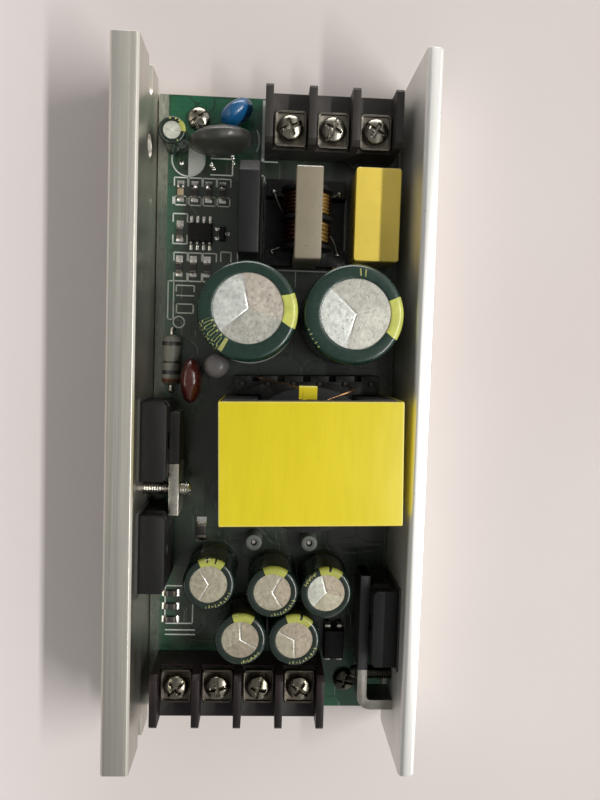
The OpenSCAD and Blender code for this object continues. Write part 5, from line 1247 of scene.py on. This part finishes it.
# CAD nodes with softened edges: material, slot, width and steps of the edges, and the nodes
for mat, slot, bevel, segments, *nodes in (
        ("plate_left", "plate_left", 0.5, 4, "heatsink_left"),
        ("plate_right", "plate_right", 0.15, 2, "heatsink_right"),
        ("block", "block_plastic", 0.18, 2, "input_terminal_body"),
        ("block_out", "block_plastic", 0.18, 2, "output_terminal_body"),
        ("tray", "clamp_steel", 0.12, 2, "input_terminal_clamps"),
        ("tray_dark", "clamp_steel", 0.12, 2, "output_terminal_clamps"),
        ("tape", "tape_yellow", 0.28, 3, "transformer_tape"),
        ("ferrite", "ferrite", 0.25, 2, "transformer_core_upper", "transformer_core_lower"),
        ("bobbin", "bobbin_plastic", 0.15, 2, "transformer_bobbin"),
        ("ferrite_light", "ferrite_light", 0.35, 3, "choke_core"),
        ("bobbin", "bobbin_plastic", 0.15, 2, "choke_bobbin"),
        ("film", "film_yellow", 0.35, 3, "film_capacitor"),
        ("bridge", "epoxy_black", 0.3, 3, "bridge_rectifier"),
        ("epoxy", "epoxy_black", 0.25, 2, "switch_transistor_upper", "switch_transistor_lower",
         "output_rectifier"),
        ("clamp", "clamp_steel", 0.25, 3, "left_clamp"),
        ("clamp_right", "clamp_steel", 0.25, 3, "right_clamp"),
        ("sleeve_black", "sleeve_black", 0.3, 3, "left_clamp_sleeve", "right_clamp_sleeve")):
    for node in nodes:
        dress(node, mat, bevel, segments)

# CAD nodes whose form is right as it is
for node, mat in (("circuit_board", "board"), ("transformer_winding", "tape"), ("transformer_pins", "pin"),
                  ("input_terminal_contacts", "tinned"), ("output_terminal_contacts", "tinned"),
                  ("bridge_rectifier_leads", "tinned"), ("semiconductor_leads", "tinned"),
                  ("bead_wires", "tinned"), ("insulating_pads", "pad")):
    mesh = NODES[node].data
    mesh.materials.clear()
    mesh.materials.append(LOOKS[mat])


# Floor, light and camera
def stage():
    m = Surface("floor", specular=0.1)
    tone = m.ramp(m.noise(9, 2), [(0.3, linear(224, 214, 211)), (0.7, linear(230, 223, 219))])
    # Painted light: the floor is lighter left of the part
    tone = m.mix(m.span(m.axis(0), -0.065, -0.03, 1, 0), tone, linear(243, 235, 234))
    half, n = 1.6, 8
    steps = [-half + 2 * half * i / n for i in range(n + 1)]
    mesh = bpy.data.meshes.new("floor")
    mesh.from_pydata([(x, y, 0) for y in steps for x in steps], [], meshed(n, n))
    mesh.materials.append(m.finish(tone, 0.9, (m.noise(400, 2), 0.02)))
    link_object("floor", mesh)


def light():
    lamp = bpy.data.lights.new("tube", "AREA")
    assign(lamp, shape="RECTANGLE", size=0.06, size_y=1.2, energy=15, color=(1, 0.985, 0.965))
    obj = link_object("tube", lamp)
    obj.location = (0.87, -0.19, 1.2)
    back = Vector(obj.location).normalized()
    along = (Vector((0, 1, 0)) - back * back.y).normalized()
    obj.rotation_euler = Matrix((along.cross(back), along, back)).transposed().to_euler()

    world = bpy.data.worlds.new("room")
    scene.world = world
    world.use_nodes = True
    t = Tree(world.node_tree)
    x, y, z = t.split(t.node("TexCoord").outputs["Generated"])
    ray = t.node("LightPath").outputs
    # The one who takes the picture keeps light from straight above away
    sky = t.span(z, 0.58, 0.80, 0.64, 0.18)
    # A window low on the input side shows only as a bright line along glossy edges
    pane = t.math("MULTIPLY", t.span(y, 0.84, 0.93, 0, 1), t.span(z, 0.28, 0.42, 8, 0))
    room = t.math("MAXIMUM", t.span(x, 0.12, 0.23, 0.34, 1), pane)
    mirrored = t.math("MAXIMUM", ray["Is Glossy Ray"], ray["Is Transmission Ray"])
    backdrop = 0.82
    level = t.mix_numbers(ray["Is Camera Ray"], t.mix_numbers(mirrored, sky, room), backdrop)
    t.feed(t.tree.nodes["Background"], {"Color": (1, 0.985, 0.97, 1), "Strength": level})


def camera():
    cam = bpy.data.cameras.new("camera")
    assign(cam, sensor_fit="HORIZONTAL", sensor_width=36, lens=41.612, clip_start=0.005, clip_end=20)
    obj = link_object("camera", cam)
    obj.location = (-0.0007903, 0.0113644, 0.1492933)
    obj.rotation_euler = (-0.0628, -0.0489, 0.0306)
    scene.camera = obj


stage()
light()
camera()
scene.view_settings.view_transform = "Standard"
